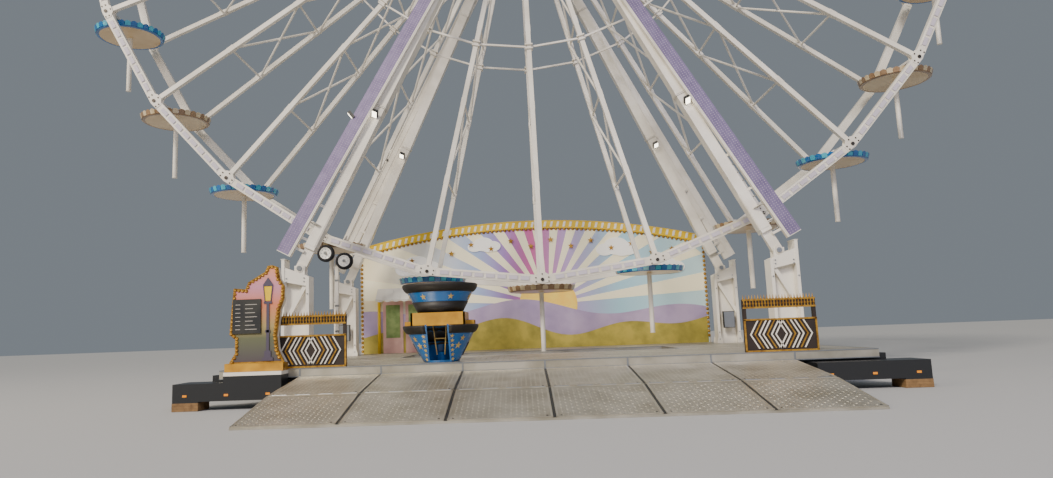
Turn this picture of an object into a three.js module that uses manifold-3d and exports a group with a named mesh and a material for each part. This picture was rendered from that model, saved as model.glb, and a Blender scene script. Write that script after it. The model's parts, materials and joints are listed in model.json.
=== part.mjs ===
// A travelling fairground ferris wheel, in millimetres, +Z up. The origin lies on the ground under
// the hub, the wheel's axle runs along Y, and the front, with the ramps, is at -Y.
import * as THREE from 'three';
import { mergeVertices } from 'three/addons/utils/BufferGeometryUtils.js';
import Module from 'manifold-3d';

const wasm = await Module();
wasm.setup();

// Driving dimensions of the wheel.
const RIM_RADIUS = 15000; // hub centre to a corner of the rim
const HUB_HEIGHT = 18170;
const CABIN_COUNT = 26;
const REST_TURN = THREE.MathUtils.degToRad(0.72); // corner 6 past the bottom, towards +X
const BOTTOM_CORNER = 6; // the cabin that hangs lowest at rest
const SPOKES_A_SECTOR = 2;
const FIRST_CORNER = 1; // where the first sector begins
const RIM_HALF_GAP = 1420; // wheel plane to the middle of the front or rear rim
const RIM_BEAM = { radial: 260, across: 160 };
const RIM_SETBACK = 200; // from a corner to the joint between two runs of rim
const CHORD_WIDTH = 150;
const LACING_RADIUS = 32;
const LACING_OFFSET = 34; // the two rods of a cross pass on either side of the spoke's plane
const LACING_STATIONS = [12000, 9300, 6600, 3900, 1300]; // distances from the hub
const RING_RADIUS = 7250;
const RING_ROD = 55;
const RING_SETBACK = 110;
const FLANGE_APOTHEM = 1000;
const FLANGE_PLACE = 730; // wheel plane to the middle of a hub flange
const FLANGE_THICKNESS = 240;
const BARREL_RADIUS = 450;
const BARREL_HALF_LENGTH = 1080;
const AXLE_RADIUS = 200;
const AXLE_SIDES = 24;
const AXLE_BORE_RADIUS = 202.4;
const THRUST_COLLAR_RADIUS = 320;

// Driving dimensions of a cabin, measured from its own axle.
const CROSS_BEAM_WIDTH = 100;
const COLLAR_RADIUS = 120;
const COLLAR_PLACE = 260;
const COLLAR_THICKNESS = 40;
const SLEEVE_RADIUS = 120;
const SLEEVE_BORE_RADIUS = 92;
const ROUND_SIDES = 8;
const SLEEVE_SIDES = 6;
const ROOF = { radius: 1057, crown: -150, edgeTop: -205, edgeBottom: -285, sides: 16 };
const CREST = { inner: 1020, top: -125 }; // the ring that stands on a roof's edge
const POST_RADIUS = 70;
const POST_BOTTOM = -2250;

// Driving dimensions of the two tubs that stand stacked on the deck, measured from a tub's foot.
const TUB = { rim: 950, floor: 450, height: 930, wall: 45, sides: 20 };
const BENCH = { inner: 400, outer: 610, top: 440 };
const DOOR = { width: 520, sill: 60 };
const TUB_BOSS = { radius: 110, top: 250 };
const STACK_PLACE = { x: -2620, y: -5000 };
const STACK_BAR = { reach: 880, place: 300, width: 100, thickness: 120 }; // carry the upper tub
const STACK_RING = { reach: 680, plate: 40, height: 320 }; // hold it from sliding
const WELD_LAP = 1; // how far welded pieces reach into each other

// Driving dimensions of the fixed structure.
const LEG_FOOT = point(6940, 2910, 3655); // pin at the foot of a leg
const LEG_TOP_PLACE = 1550; // wheel plane to the middle of a leg's top
const LEG_WIDTH = 320;
const HEAD = { x: 1000, y: 560, below: 720, above: 520 };
const LUG = { radius: 150, thickness: 150, length: 620 };
const PIN_RADIUS = 60;
const PIN_SIDES = 8;
const PANEL = { width: 450, thickness: 110, lowOffset: 575, highOffset: -20, from: 0.012, to: 0.8,
  proud: 245 }; // its middle stands out before the leg's axis
const PANEL_BRACKETS = 6;
const BRACKET_WIDTH = 70;
const BRACKET_INSET = 0.04; // share of the leg between a panel's end and its first bracket
const DECK_TOP = 900;
const DECK = { left: -8000, right: 8000, front: -6000, rear: 5150, thickness: 110 };
const CHANNEL = { halfLength: 4300, halfWidth: 1350 }; // in the deck, where the lowest cabins pass
const RISER = { thickness: 50, bottom: 690 };
const LONG_BEAM = { bottom: 300, width: 500, edgeWidth: 250, reach: 8250 }; // run from left to right
const EDGE_BEAM_INSET = 320;
const CROSS_RAIL = { bottom: 220, top: 500, width: 250 }; // run from front to rear under them
const CROSSINGS = [-7300, -3650, 0, 3650, 7300];
const PAD = { size: 620, top: 260 };
const TOWER = { inner: -260, outer: 460, post: 90, depth: 480, drop: 230, inset: 20, web: 40,
  strut: 110, strutFoot: 2000, horn: 495 };
const TOWER_BEAM = { innerDrop: 535, outerDrop: 385 }; // pin to the top beam's sloping underside
const TOWER_PLATE = { thickness: 20, innerRise: -235, outerRise: 45 }; // pin to its sloping top
const PIN_CHEEK = { thickness: 70, pinEnd: 35 };
const TOWER_CLEARANCE = { x: 70, y: 20 }; // between a tower's outside and the deck
const RAMP = { left: -6000, right: 6000, front: -10200, middle: -8200, lip: 40, knee: 430,
  plate: 70, cheek: 60 };
const FENCE = { inner: 4850, outer: 6600, panelTop: 1700, corniceBottom: 1960,
  corniceTop: 2180, post: 80, panel: 50, cornice: 90 };
const SIGN = { place: -6230, thickness: 60 };
const SIGN_OUTLINE = [[-7650, 1050], [-7650, 1100], [-7510, 1320], [-7510, 1650], [-7650, 1770],
  [-7610, 2370], [-7560, 2900], [-7270, 2870], [-7200, 3040], [-6790, 3280], [-6720, 3430],
  [-6600, 3440], [-6470, 3390], [-6420, 3100], [-6300, 2910], [-6310, 2630], [-6410, 2350],
  [-6490, 1730], [-6450, 1380], [-6310, 1100], [-6310, 1050]]; // its foot reaches into the plinth
const SIGN_BASE = { left: -7680, right: -6280, depth: 400, bottom: 880, top: 1070 };
const OUTRIGGER = { from: 6300, to: 8900, front: -6530, top: 640 };
const BACKDROP = { place: 4700, halfWidth: 6900, eaves: 4835, crown: 5700, thickness: 80 };
const CROWN_BAND = { height: 260, thickness: 160, lap: 20 };
const ARC_STEPS = 16;
const TYRE = { radius: 265, width: 170, sides: 20, bore: 46 };
const DRIVE_TURNS = [-25.4, -23].map(THREE.MathUtils.degToRad); // places along the rim
const DRIVE_PIN_RADIUS = 34;
const DRIVE_POST = { width: 100, place: -1220 };
const DRIVE_SOLE = { size: 400, thickness: 40 };
const DRIVE_PIN_END = 30; // how far a pin stands out before its tyre
const DRIVE_HUB_RADIUS = 80;

const FIT_GAP = 0.3; // between pieces that touch
const RUNNING_GAP = 8; // between the rim's outermost corners and a drive tyre
const MERGE_TOLERANCE = 1e-4;
const SIDES = [-1, 1];
const ALONG_X = point(1, 0, 0);
const ALONG_Y = point(0, 1, 0);
const ALONG_Z = point(0, 0, 1);
const CORNER_STEP = 2 * Math.PI / CABIN_COUNT;

const paint = {
  cream: metal('#ece7dc', 0.45, 0.2),
  panel: metal('#8a7890', 0.6, 0.2),
  roofBlue: metal('#1b6fb0', 0.4, 0.1),
  roofTan: metal('#8c735a', 0.4, 0.1),
  deck: metal('#b9b2a0', 0.5, 0.8),
  steel: metal('#8d9094', 0.4, 0.8),
  dark: metal('#24262a', 0.6, 0.3),
  sky: metal('#cfdcea', 0.7, 0.0),
  tubBlue: metal('#1668a8', 0.3, 0.1),
  tyre: metal('#151515', 0.9, 0.0),
  gold: metal('#b98a3a', 0.5, 0.4),
};

function metal(color, roughness, metalness) {
  return new THREE.MeshStandardMaterial({ color, roughness, metalness });
}

function point(x, y, z) {
  return new THREE.Vector3(x, y, z);
}

// A closed geometry as a solid that can be joined and cut. Triangles that collapse on the axis of
// a turned profile are dropped.
function solid(geometry) {
  geometry.deleteAttribute('normal');
  geometry.deleteAttribute('uv');
  const merged = mergeVertices(geometry, MERGE_TOLERANCE);
  const corners = merged.index.array;
  const kept = [];
  for (let i = 0; i < corners.length; i += 3) {
    const [a, b, c] = corners.slice(i, i + 3);
    if (a !== b && b !== c && c !== a) kept.push(a, b, c);
  }
  return new wasm.Manifold(new wasm.Mesh({
    numProp: 3,
    vertProperties: new Float32Array(merged.attributes.position.array),
    triVerts: new Uint32Array(kept),
  }));
}

function joined(solids) {
  return solids.reduce((whole, next) => whole.add(next));
}

function geometryOf(piece) {
  const { vertProperties, triVerts } = piece.getMesh();
  const geometry = new THREE.BufferGeometry();
  geometry.setAttribute('position', new THREE.BufferAttribute(vertProperties, 3));
  geometry.setIndex(new THREE.BufferAttribute(triVerts, 1));
  geometry.computeVertexNormals();
  return geometry;
}

function piece(name, geometry, material) {
  const mesh = new THREE.Mesh(geometry, material);
  mesh.name = name;
  return mesh;
}

// A box between two corner points.
function block(low, high) {
  const size = high.clone().sub(low);
  const middle = low.clone().add(high).multiplyScalar(0.5);
  const geometry = new THREE.BoxGeometry(size.x, size.y, size.z);
  return solid(geometry.translate(middle.x, middle.y, middle.z));
}

// The matrix that lays local Y along a line, with local X as near as it can be to `across`.
function alongLine(from, to, across) {
  const y = to.clone().sub(from).normalize();
  const z = across.clone().cross(y).normalize();
  const x = y.clone().cross(z);
  return new THREE.Matrix4().makeBasis(x, y, z).setPosition(from.clone().lerp(to, 0.5));
}

// A rectangular bar: `width` is measured along `across`, `depth` square to it.
function bar(from, to, width, depth, across) {
  const geometry = new THREE.BoxGeometry(width, from.distanceTo(to), depth);
  return solid(geometry.applyMatrix4(alongLine(from, to, across)));
}

function rod(from, to, radius, sides, across = ALONG_Y) {
  const geometry = new THREE.CylinderGeometry(radius, radius, from.distanceTo(to), sides);
  return solid(geometry.applyMatrix4(alongLine(from, to, across)));
}

// A profile of [radius, height] pairs turned about Z.
function turned(profile, sides) {
  const outline = profile.map(([radius, height]) => new THREE.Vector2(radius, height));
  return solid(new THREE.LatheGeometry(outline, sides).rotateX(Math.PI / 2));
}

// An outline of [y, z] pairs drawn out along X.
function drawnAlongX(outline, from, to) {
  const shape = new THREE.Shape(outline.map(([y, z]) => new THREE.Vector2(y, z)));
  const geometry = new THREE.ExtrudeGeometry(shape, { depth: to - from, bevelEnabled: false });
  const lay = new THREE.Matrix4().makeBasis(ALONG_Y, ALONG_Z, ALONG_X).setPosition(from, 0, 0);
  return solid(geometry.applyMatrix4(lay));
}

// An outline of [x, z] pairs drawn out along Y, from its front face backwards.
function drawnAlongY(outline, front, thickness) {
  const shape = new THREE.Shape(outline.map(([x, z]) => new THREE.Vector2(x, z)));
  const geometry = new THREE.ExtrudeGeometry(shape, { depth: thickness, bevelEnabled: false });
  return solid(geometry.rotateX(Math.PI / 2).translate(0, front + thickness, 0));
}

// A place on the wheel: `turn` counts from straight down towards +X.
function onWheel(turn, radius, y = 0) {
  return point(radius * Math.sin(turn), y, -radius * Math.cos(turn));
}

function tangentAt(turn) {
  return point(Math.cos(turn), 0, Math.sin(turn));
}

// Half the gap between a spoke's front and rear chords, which spread from the hub to the rim.
function chordPlace(radius) {
  const share = (radius - FLANGE_APOTHEM) / (RIM_RADIUS - FLANGE_APOTHEM);
  return THREE.MathUtils.lerp(FLANGE_PLACE, RIM_HALF_GAP, share);
}

// A chord runs from the flat of the hub flange into the rim, with both ends square to the spoke.
function chord(turn, side) {
  const start = FLANGE_APOTHEM + FIT_GAP;
  const length = RIM_RADIUS - start;
  const inner = onWheel(turn, start, side * chordPlace(start));
  const outer = onWheel(turn, RIM_RADIUS, side * RIM_HALF_GAP);
  const inward = inner.clone().sub(outer).divideScalar(length);
  const lay = new THREE.Matrix4().makeBasis(tangentAt(turn), ALONG_Y, inward);
  lay.setPosition(inner.lerp(outer, 0.5));
  return solid(new THREE.BoxGeometry(CHORD_WIDTH, CHORD_WIDTH, length).applyMatrix4(lay));
}

// The rods that cross between the front and rear chords, and the strut that closes them.
function lacing(turn) {
  const tangent = tangentAt(turn);
  const outer = LACING_STATIONS[0];
  const [strutFront, strutRear] = SIDES.map((side) => onWheel(turn, outer, side * chordPlace(outer)));
  const bars = [rod(strutFront, strutRear, LACING_RADIUS, 4, tangent)];
  for (let i = 1; i < LACING_STATIONS.length; i += 1) {
    const [far, near] = [LACING_STATIONS[i - 1], LACING_STATIONS[i]];
    for (const side of SIDES) {
      const aside = tangent.clone().multiplyScalar(side * LACING_OFFSET);
      const from = onWheel(turn, far, side * chordPlace(far)).add(aside);
      const to = onWheel(turn, near, -side * chordPlace(near)).add(aside);
      bars.push(rod(from, to, LACING_RADIUS, 3, tangent));
    }
  }
  return bars;
}

// The square beam from the front rim to the rear rim that carries a cabin between its two collars.
function crossBeam(turn) {
  const front = onWheel(turn, RIM_RADIUS, -RIM_HALF_GAP);
  const rear = onWheel(turn, RIM_RADIUS, RIM_HALF_GAP);
  const collars = SIDES.map((side) => {
    const from = onWheel(turn, RIM_RADIUS, side * COLLAR_PLACE);
    const to = onWheel(turn, RIM_RADIUS, side * (COLLAR_PLACE + COLLAR_THICKNESS));
    return rod(from, to, COLLAR_RADIUS, SLEEVE_SIDES, ALONG_X);
  });
  return [bar(front, rear, CROSS_BEAM_WIDTH, CROSS_BEAM_WIDTH, tangentAt(turn)), ...collars];
}

// The outline, in X and Z, of a many-sided ring from just before corner 0 to just before corner
// `count`, where the next run begins.
function ringRun(radius, depth, count, setback) {
  const edge = (offset) => {
    const beside = (turn, back) => {
      const bay = turn - CORNER_STEP / 2;
      const place = onWheel(turn, radius).addScaledVector(tangentAt(bay), -back);
      return place.add(onWheel(bay, offset));
    };
    const points = [beside(0, setback)];
    for (let i = 0; i < count; i += 1) {
      points.push(onWheel(i * CORNER_STEP, radius + offset / Math.cos(CORNER_STEP / 2)));
    }
    points.push(beside(count * CORNER_STEP, setback + FIT_GAP));
    return points.map(({ x, z }) => [x, z]);
  };
  return [...edge(depth / 2), ...edge(-depth / 2).reverse()];
}

// A run of neighbouring spokes with their stretch of the two rims and the two inner rings.
function sector(count) {
  const rim = ringRun(RIM_RADIUS, RIM_BEAM.radial, count, RIM_SETBACK);
  const ring = ringRun(RING_RADIUS, RING_ROD, count, RING_SETBACK);
  const parts = SIDES.flatMap((side) => [
    drawnAlongY(rim, side * RIM_HALF_GAP - RIM_BEAM.across / 2, RIM_BEAM.across),
    drawnAlongY(ring, side * chordPlace(RING_RADIUS) - RING_ROD / 2, RING_ROD),
  ]);
  for (let i = 0; i < count; i += 1) {
    const turn = i * CORNER_STEP;
    parts.push(...SIDES.map((side) => chord(turn, side)), ...lacing(turn), ...crossBeam(turn));
  }
  return joined(parts);
}

// The drum between the two many-sided flanges, whose flats face the spokes.
function hubBarrel() {
  const [front, rear] = SIDES.map((side) => point(0, side * BARREL_HALF_LENGTH, 0));
  const drum = rod(front, rear, BARREL_RADIUS, AXLE_SIDES, ALONG_X);
  const flanges = SIDES.map((side) => {
    const radius = FLANGE_APOTHEM / Math.cos(CORNER_STEP / 2);
    const start = CORNER_STEP / 2;
    const plate = new THREE.CylinderGeometry(
      radius, radius, FLANGE_THICKNESS, CABIN_COUNT, 1, false, start);
    return solid(plate.translate(0, side * FLANGE_PLACE, 0));
  });
  const bore = rod(front.clone().multiplyScalar(2), rear.clone().multiplyScalar(2),
    AXLE_BORE_RADIUS, AXLE_SIDES, ALONG_X);
  return joined([drum, ...flanges]).subtract(bore);
}

// A round roof on its post, with the sleeve that turns on the cross-beam.
function cabinRoof() {
  const sleeveEnd = COLLAR_PLACE - FIT_GAP;
  const roof = turned([[0, ROOF.edgeBottom], [ROOF.radius, ROOF.edgeBottom],
    [ROOF.radius, CREST.top], [CREST.inner, CREST.top], [CREST.inner, ROOF.edgeTop],
    [0, ROOF.crown]], ROOF.sides);
  const post = rod(point(0, 0, POST_BOTTOM), point(0, 0, 0), POST_RADIUS, ROUND_SIDES);
  const ends = SIDES.map((side) => point(0, side * sleeveEnd, 0));
  const sleeve = rod(ends[0], ends[1], SLEEVE_RADIUS, SLEEVE_SIDES, ALONG_X);
  const boreEnds = ends.map((end) => end.clone().multiplyScalar(2));
  const bore = rod(boreEnds[0], boreEnds[1], SLEEVE_BORE_RADIUS, SLEEVE_SIDES, ALONG_X);
  return joined([post, sleeve, roof]).subtract(bore);
}

// An open tub with its round bench, a doorway at the front and a socket for the post.
function tub() {
  const bowl = turned([[0, 0], [TUB.floor, 0], [TUB.rim, TUB.height],
    [TUB.rim - TUB.wall, TUB.height], [BENCH.outer, BENCH.top], [BENCH.inner, BENCH.top],
    [BENCH.inner, TUB.wall], [0, TUB.wall]], TUB.sides);
  const doorway = block(point(-DOOR.width / 2, -2 * TUB.rim, DOOR.sill),
    point(DOOR.width / 2, 0, 2 * TUB.height));
  const boss = rod(point(0, 0, 0), point(0, 0, TUB_BOSS.top), TUB_BOSS.radius, ROUND_SIDES);
  return bowl.subtract(doorway).add(boss);
}

// Two tubs, the upper one with its doorway to the rear, and the welded frame between them.
function tubStack() {
  const seat = TUB.height - WELD_LAP;
  const upperFoot = TUB.height + STACK_BAR.thickness;
  const bars = SIDES.map((side) => {
    const low = side * STACK_BAR.place - STACK_BAR.width / 2;
    return block(point(-STACK_BAR.reach, low, seat),
      point(STACK_BAR.reach, low + STACK_BAR.width, upperFoot + WELD_LAP));
  });
  const { reach, plate } = STACK_RING;
  const top = TUB.height + STACK_RING.height;
  const inside = reach - plate;
  const ring = block(point(-reach, -reach, seat), point(reach, reach, top))
    .subtract(block(point(-inside, -inside, 0), point(inside, inside, 2 * top)));
  const upper = tub().rotate([0, 0, 180]).translate([0, 0, upperFoot]);
  return joined([tub(), ring, ...bars, upper]);
}

// The pin, feet and tops of the four legs differ only in their signs.
function legFoot(left, front) {
  return point(left * LEG_FOOT.x, front * LEG_FOOT.y, LEG_FOOT.z);
}

function legTop(front) {
  return point(0, front * LEG_TOP_PLACE, HUB_HEIGHT);
}

// The direction square to a leg, in the plane of its pair, pointing away from the wheel's middle.
function legOutward(left, front) {
  const along = legTop(front).sub(legFoot(left, front)).normalize();
  return point(left, 0, 0).projectOnPlane(along).normalize();
}

function legTube(left, front, grow = 0) {
  const foot = legFoot(left, front);
  const start = foot.clone().lerp(legTop(front), LUG.length / foot.distanceTo(legTop(front)));
  const width = LEG_WIDTH + 2 * grow;
  return bar(start, legTop(front), width, width, legOutward(left, front));
}

function headBlock(front, grow = 0) {
  const reach = point(HEAD.x / 2 + grow, HEAD.y / 2 + grow, 0);
  const middle = legTop(front);
  const low = middle.clone().sub(reach).setZ(HUB_HEIGHT - HEAD.below - grow);
  return block(low, middle.clone().add(reach).setZ(HUB_HEIGHT + HEAD.above + grow));
}

// A leg is a box tube that narrows to a pinned lug and butts against the bearing head.
function leg(left, front) {
  const foot = legFoot(left, front);
  const along = legTop(front).sub(foot).normalize();
  const inTube = foot.clone().addScaledVector(along, LUG.length + LEG_WIDTH / 2);
  const lug = bar(foot, inTube, 2 * LUG.radius, LUG.thickness, legOutward(left, front));
  const reach = point(0, LUG.thickness / 2, 0);
  const eye = rod(foot.clone().sub(reach), foot.clone().add(reach), LUG.radius, PIN_SIDES, ALONG_X);
  const hole = rod(foot.clone().addScaledVector(reach, -2), foot.clone().addScaledVector(reach, 2),
    PIN_RADIUS + FIT_GAP, PIN_SIDES, ALONG_X);
  const inner = block(point(-LEG_FOOT.x * 2, foot.y - LUG.thickness / 2, 0),
    point(LEG_FOOT.x * 2, foot.y + LUG.thickness / 2, HUB_HEIGHT));
  return joined([legTube(left, front), lug.intersect(inner), eye])
    .subtract(hole).subtract(headBlock(front, FIT_GAP));
}

// The direction square to a leg and to its pair's plane, away from the wheel.
function legFace(left, front) {
  const along = legTop(front).sub(legFoot(left, front)).normalize();
  const face = along.cross(legOutward(left, front));
  return face.multiplyScalar(Math.sign(face.y) * front);
}

// A place beside a leg: `share` runs from its foot to its top.
function besideLeg(left, front, share, offset, proud) {
  const place = legFoot(left, front).lerp(legTop(front), share);
  return place.addScaledVector(legOutward(left, front), offset)
    .addScaledVector(legFace(left, front), proud);
}

// The light panel that runs before a leg, on short brackets, and nears the leg's axis towards its top.
function lightPanel(left, front) {
  const onPanel = (share) => {
    const along = (share - PANEL.from) / (PANEL.to - PANEL.from);
    const offset = THREE.MathUtils.lerp(PANEL.lowOffset, PANEL.highOffset, along);
    return besideLeg(left, front, share, offset, PANEL.proud);
  };
  const parts = [bar(onPanel(PANEL.from), onPanel(PANEL.to), PANEL.width, PANEL.thickness,
    legOutward(left, front))];
  for (let i = 0; i < PANEL_BRACKETS; i += 1) {
    const share = THREE.MathUtils.lerp(PANEL.from + BRACKET_INSET, PANEL.to - BRACKET_INSET,
      i / (PANEL_BRACKETS - 1));
    const from = besideLeg(left, front, share, 0, 0);
    parts.push(bar(from, onPanel(share), BRACKET_WIDTH, BRACKET_WIDTH, ALONG_Z));
  }
  return joined(parts).subtract(legTube(left, front, FIT_GAP));
}

// The fixed axle and the two bearing heads that hold it between the legs.
function axleAndHeads() {
  const reach = LEG_TOP_PLACE + HEAD.y / 2;
  const [front, rear] = SIDES.map((side) => point(0, side * reach, HUB_HEIGHT));
  const heads = SIDES.map((side) => headBlock(side));
  const thrust = SIDES.map((side) => {
    const from = point(0, side * (BARREL_HALF_LENGTH + FIT_GAP), HUB_HEIGHT);
    const to = point(0, side * LEG_TOP_PLACE, HUB_HEIGHT);
    return rod(from, to, THRUST_COLLAR_RADIUS, PIN_SIDES, ALONG_X);
  });
  return joined([rod(front, rear, AXLE_RADIUS, AXLE_SIDES, ALONG_X), ...heads, ...thrust]);
}

// The welded stand under one leg: posts, a top beam between sloping plates, a web, a diagonal and
// two pin cheeks.
function tower(left, front) {
  const foot = legFoot(left, front);
  const { x, y, z } = foot;
  const beamTop = z - TOWER.drop;
  const half = TOWER.depth / 2;
  const xInner = x + left * TOWER.inner;
  const xOuter = x + left * TOWER.outer;
  const [low, high] = [Math.min(xInner, xOuter), Math.max(xInner, xOuter)];
  const post = (middle, top) => block(point(middle - TOWER.post / 2, y - half, CROSS_RAIL.top),
    point(middle + TOWER.post / 2, y + half, top));
  const beamHalf = half - TOWER.inset;
  const underside = [[xInner, z - TOWER_BEAM.innerDrop], [xOuter, z - TOWER_BEAM.outerDrop]];
  const topBeam = drawnAlongY([...underside, [xOuter, beamTop], [xInner, beamTop]],
    y - beamHalf, 2 * beamHalf);
  const plateOutline = [...underside, [xOuter, z + TOWER_PLATE.outerRise],
    [xInner, z + TOWER_PLATE.innerRise]];
  const plates = [y - beamHalf, y + beamHalf - TOWER_PLATE.thickness].map((place) => (
    drawnAlongY(plateOutline, place, TOWER_PLATE.thickness)));
  const web = block(point(low, y, CROSS_RAIL.top),
    point(high, y + TOWER.web, beamTop - TOWER.drop / 2));
  const strutPlace = y - beamHalf + TOWER.strut;
  const strut = bar(point(xInner, strutPlace, beamTop - TOWER.drop / 2),
    point(xOuter, strutPlace, TOWER.strutFoot), TOWER.strut, TOWER.strut, ALONG_Y);
  const cheeks = SIDES.map((side) => {
    const inner = side * (LUG.thickness / 2 + FIT_GAP);
    const outer = side * (LUG.thickness / 2 + PIN_CHEEK.thickness);
    return block(point(x - LUG.radius, y + Math.min(inner, outer), beamTop - PIN_CHEEK.thickness),
      point(x + LUG.radius, y + Math.max(inner, outer), z + LUG.radius / 2));
  });
  const pinReach = point(0, LUG.thickness / 2 + PIN_CHEEK.thickness + PIN_CHEEK.pinEnd, 0);
  const pin = rod(foot.clone().sub(pinReach), foot.clone().add(pinReach),
    PIN_RADIUS, PIN_SIDES, ALONG_X);
  return [post(xInner, beamTop - TOWER.inset), post(xOuter, beamTop + TOWER.horn), topBeam, ...plates,
    web, strut, ...cheeks, pin];
}

// The beams that carry the deck: long ones from left to right on low ones that stand on ground pads.
// The low ones leave the lowest cabins room to pass.
function baseFrame() {
  const top = DECK_TOP - DECK.thickness - FIT_GAP;
  const edgePlaces = [DECK.front + EDGE_BEAM_INSET, DECK.rear - EDGE_BEAM_INSET];
  const longBeam = (y, width) => block(point(-LONG_BEAM.reach, y - width / 2, LONG_BEAM.bottom),
    point(LONG_BEAM.reach, y + width / 2, top));
  const crossRail = (x) => block(
    point(x - CROSS_RAIL.width / 2, edgePlaces[0], CROSS_RAIL.bottom),
    point(x + CROSS_RAIL.width / 2, edgePlaces[1], CROSS_RAIL.top));
  const half = PAD.size / 2;
  const pad = (x, y) => block(point(x - half, y - half, 0), point(x + half, y + half, PAD.top));
  const outrigger = (side) => {
    const [low, high] = [OUTRIGGER.from, OUTRIGGER.to].map((x) => side * x).sort((a, b) => a - b);
    return block(point(low, OUTRIGGER.front, CROSS_RAIL.bottom),
      point(high, edgePlaces[0], OUTRIGGER.top));
  };
  const pedestal = block(point(SIGN_BASE.left, OUTRIGGER.front, CROSS_RAIL.bottom),
    point(SIGN_BASE.right, DECK.front - RUNNING_GAP, SIGN_BASE.bottom - FIT_GAP));
  const parts = [
    ...edgePlaces.map((y) => longBeam(y, LONG_BEAM.edgeWidth)),
    ...SIDES.map((side) => longBeam(side * LEG_FOOT.y, LONG_BEAM.width)),
    ...CROSSINGS.flatMap((x) => [crossRail(x), ...SIDES.map((side) => pad(x, side * LEG_FOOT.y))]),
    ...[CROSSINGS[0], 0, CROSSINGS.at(-1)].map((x) => pad(x, edgePlaces[1])),
    pad(0, edgePlaces[0]),
    pad(0, 0),
    pedestal,
  ];
  for (const side of SIDES) {
    parts.push(outrigger(side), pad(side * (OUTRIGGER.to - half), OUTRIGGER.front + half));
    for (const front of SIDES) parts.push(...tower(side, front));
  }
  return joined(parts);
}

// The deck is one floor with a hole round each tower, a channel for the cabins, and a riser along
// its front edge.
function deck() {
  const bottom = DECK_TOP - DECK.thickness;
  const floor = block(point(DECK.left, DECK.front, bottom), point(DECK.right, DECK.rear, DECK_TOP));
  const riser = block(point(DECK.left, DECK.front, RISER.bottom),
    point(DECK.right, DECK.front + RISER.thickness, DECK_TOP));
  const holeHalf = TOWER.depth / 2 + TOWER_CLEARANCE.y;
  const holes = SIDES.flatMap((left) => SIDES.map((front) => {
    const { x, y } = legFoot(left, front);
    const [low, high] = [TOWER.inner - TOWER_CLEARANCE.x, TOWER.outer + TOWER_CLEARANCE.x]
      .map((offset) => x + left * offset).sort((a, b) => a - b);
    return block(point(low, y - holeHalf, 0), point(high, y + holeHalf, 2 * DECK_TOP));
  }));
  const channel = block(point(-CHANNEL.halfLength, -CHANNEL.halfWidth, 0),
    point(CHANNEL.halfLength, CHANNEL.halfWidth, 2 * DECK_TOP));
  return floor.add(riser).subtract(joined([...holes, channel]));
}

// A plate with a steep lower half and a flat upper one, on cheeks that stand on the ground.
function ramp() {
  const rear = DECK.front - FIT_GAP;
  const slope = [[RAMP.front, RAMP.lip], [RAMP.middle, RAMP.knee], [rear, RISER.bottom]];
  const underside = slope.map(([y, z]) => [y, Math.max(0, z - RAMP.plate)]).reverse();
  const plate = drawnAlongX([...slope, ...underside], RAMP.left, RAMP.right);
  const starts = [RAMP.left, (RAMP.left + RAMP.right - RAMP.cheek) / 2, RAMP.right - RAMP.cheek];
  const cheek = [...slope, [rear, 0], [RAMP.front, 0]];
  return joined([plate, ...starts.map((x) => drawnAlongX(cheek, x, x + RAMP.cheek))]);
}

// A railing of posts, a closed panel and a cornice rail, on the deck's front edge.
function fence(side) {
  const [low, high] = [FENCE.inner, FENCE.outer].map((x) => side * x).sort((a, b) => a - b);
  const front = DECK.front;
  const foot = DECK_TOP + FIT_GAP;
  const span = (bottom, top, depth) => block(
    point(low, front, bottom), point(high, front + depth, top));
  const posts = [low, high - FENCE.post].map((x) => block(
    point(x, front, foot), point(x + FENCE.post, front + FENCE.post, FENCE.corniceTop)));
  return joined([span(foot, FENCE.panelTop, FENCE.panel),
    span(FENCE.corniceBottom, FENCE.corniceTop, FENCE.cornice), ...posts]);
}

// The points of an arc from the left eaves over the crown to the right eaves.
function archPoints(raise, halfWidth) {
  const rise = BACKDROP.crown - BACKDROP.eaves;
  const radius = (BACKDROP.halfWidth ** 2 + rise ** 2) / (2 * rise);
  const middle = BACKDROP.crown - radius;
  const points = [];
  for (let i = 0; i <= ARC_STEPS; i += 1) {
    const x = THREE.MathUtils.lerp(-halfWidth, halfWidth, i / ARC_STEPS);
    points.push([x, middle + Math.sqrt(radius ** 2 - x ** 2) + raise]);
  }
  return points;
}

// A painted wall under a thicker crown band.
function backdrop() {
  const { halfWidth } = BACKDROP;
  const foot = DECK_TOP + FIT_GAP;
  const wallTop = archPoints(CROWN_BAND.lap, halfWidth);
  const wallOutline = [...wallTop, [halfWidth, foot], [-halfWidth, foot]];
  const crownTop = archPoints(CROWN_BAND.height, halfWidth);
  const crownOutline = [...archPoints(0, halfWidth), ...crownTop.reverse()];
  const front = BACKDROP.place - (CROWN_BAND.thickness - BACKDROP.thickness) / 2;
  return drawnAlongY(wallOutline, BACKDROP.place, BACKDROP.thickness)
    .add(drawnAlongY(crownOutline, front, CROWN_BAND.thickness));
}

// A cut-out board on its own plinth.
function signBoard() {
  const board = drawnAlongY(SIGN_OUTLINE, SIGN.place - SIGN.thickness / 2, SIGN.thickness);
  const half = SIGN_BASE.depth / 2;
  const rear = Math.min(SIGN.place + half, DECK.front - RUNNING_GAP);
  const plinth = block(point(SIGN_BASE.left, SIGN.place - half, SIGN_BASE.bottom),
    point(SIGN_BASE.right, rear, SIGN_BASE.top));
  return board.add(plinth);
}

// Drive tyres run just outside the circle that the rim's corners describe.
const cornerReach = RIM_RADIUS + RIM_BEAM.radial / 2 / Math.cos(CORNER_STEP / 2);
const driveRadius = cornerReach + RUNNING_GAP + TYRE.radius;

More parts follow.
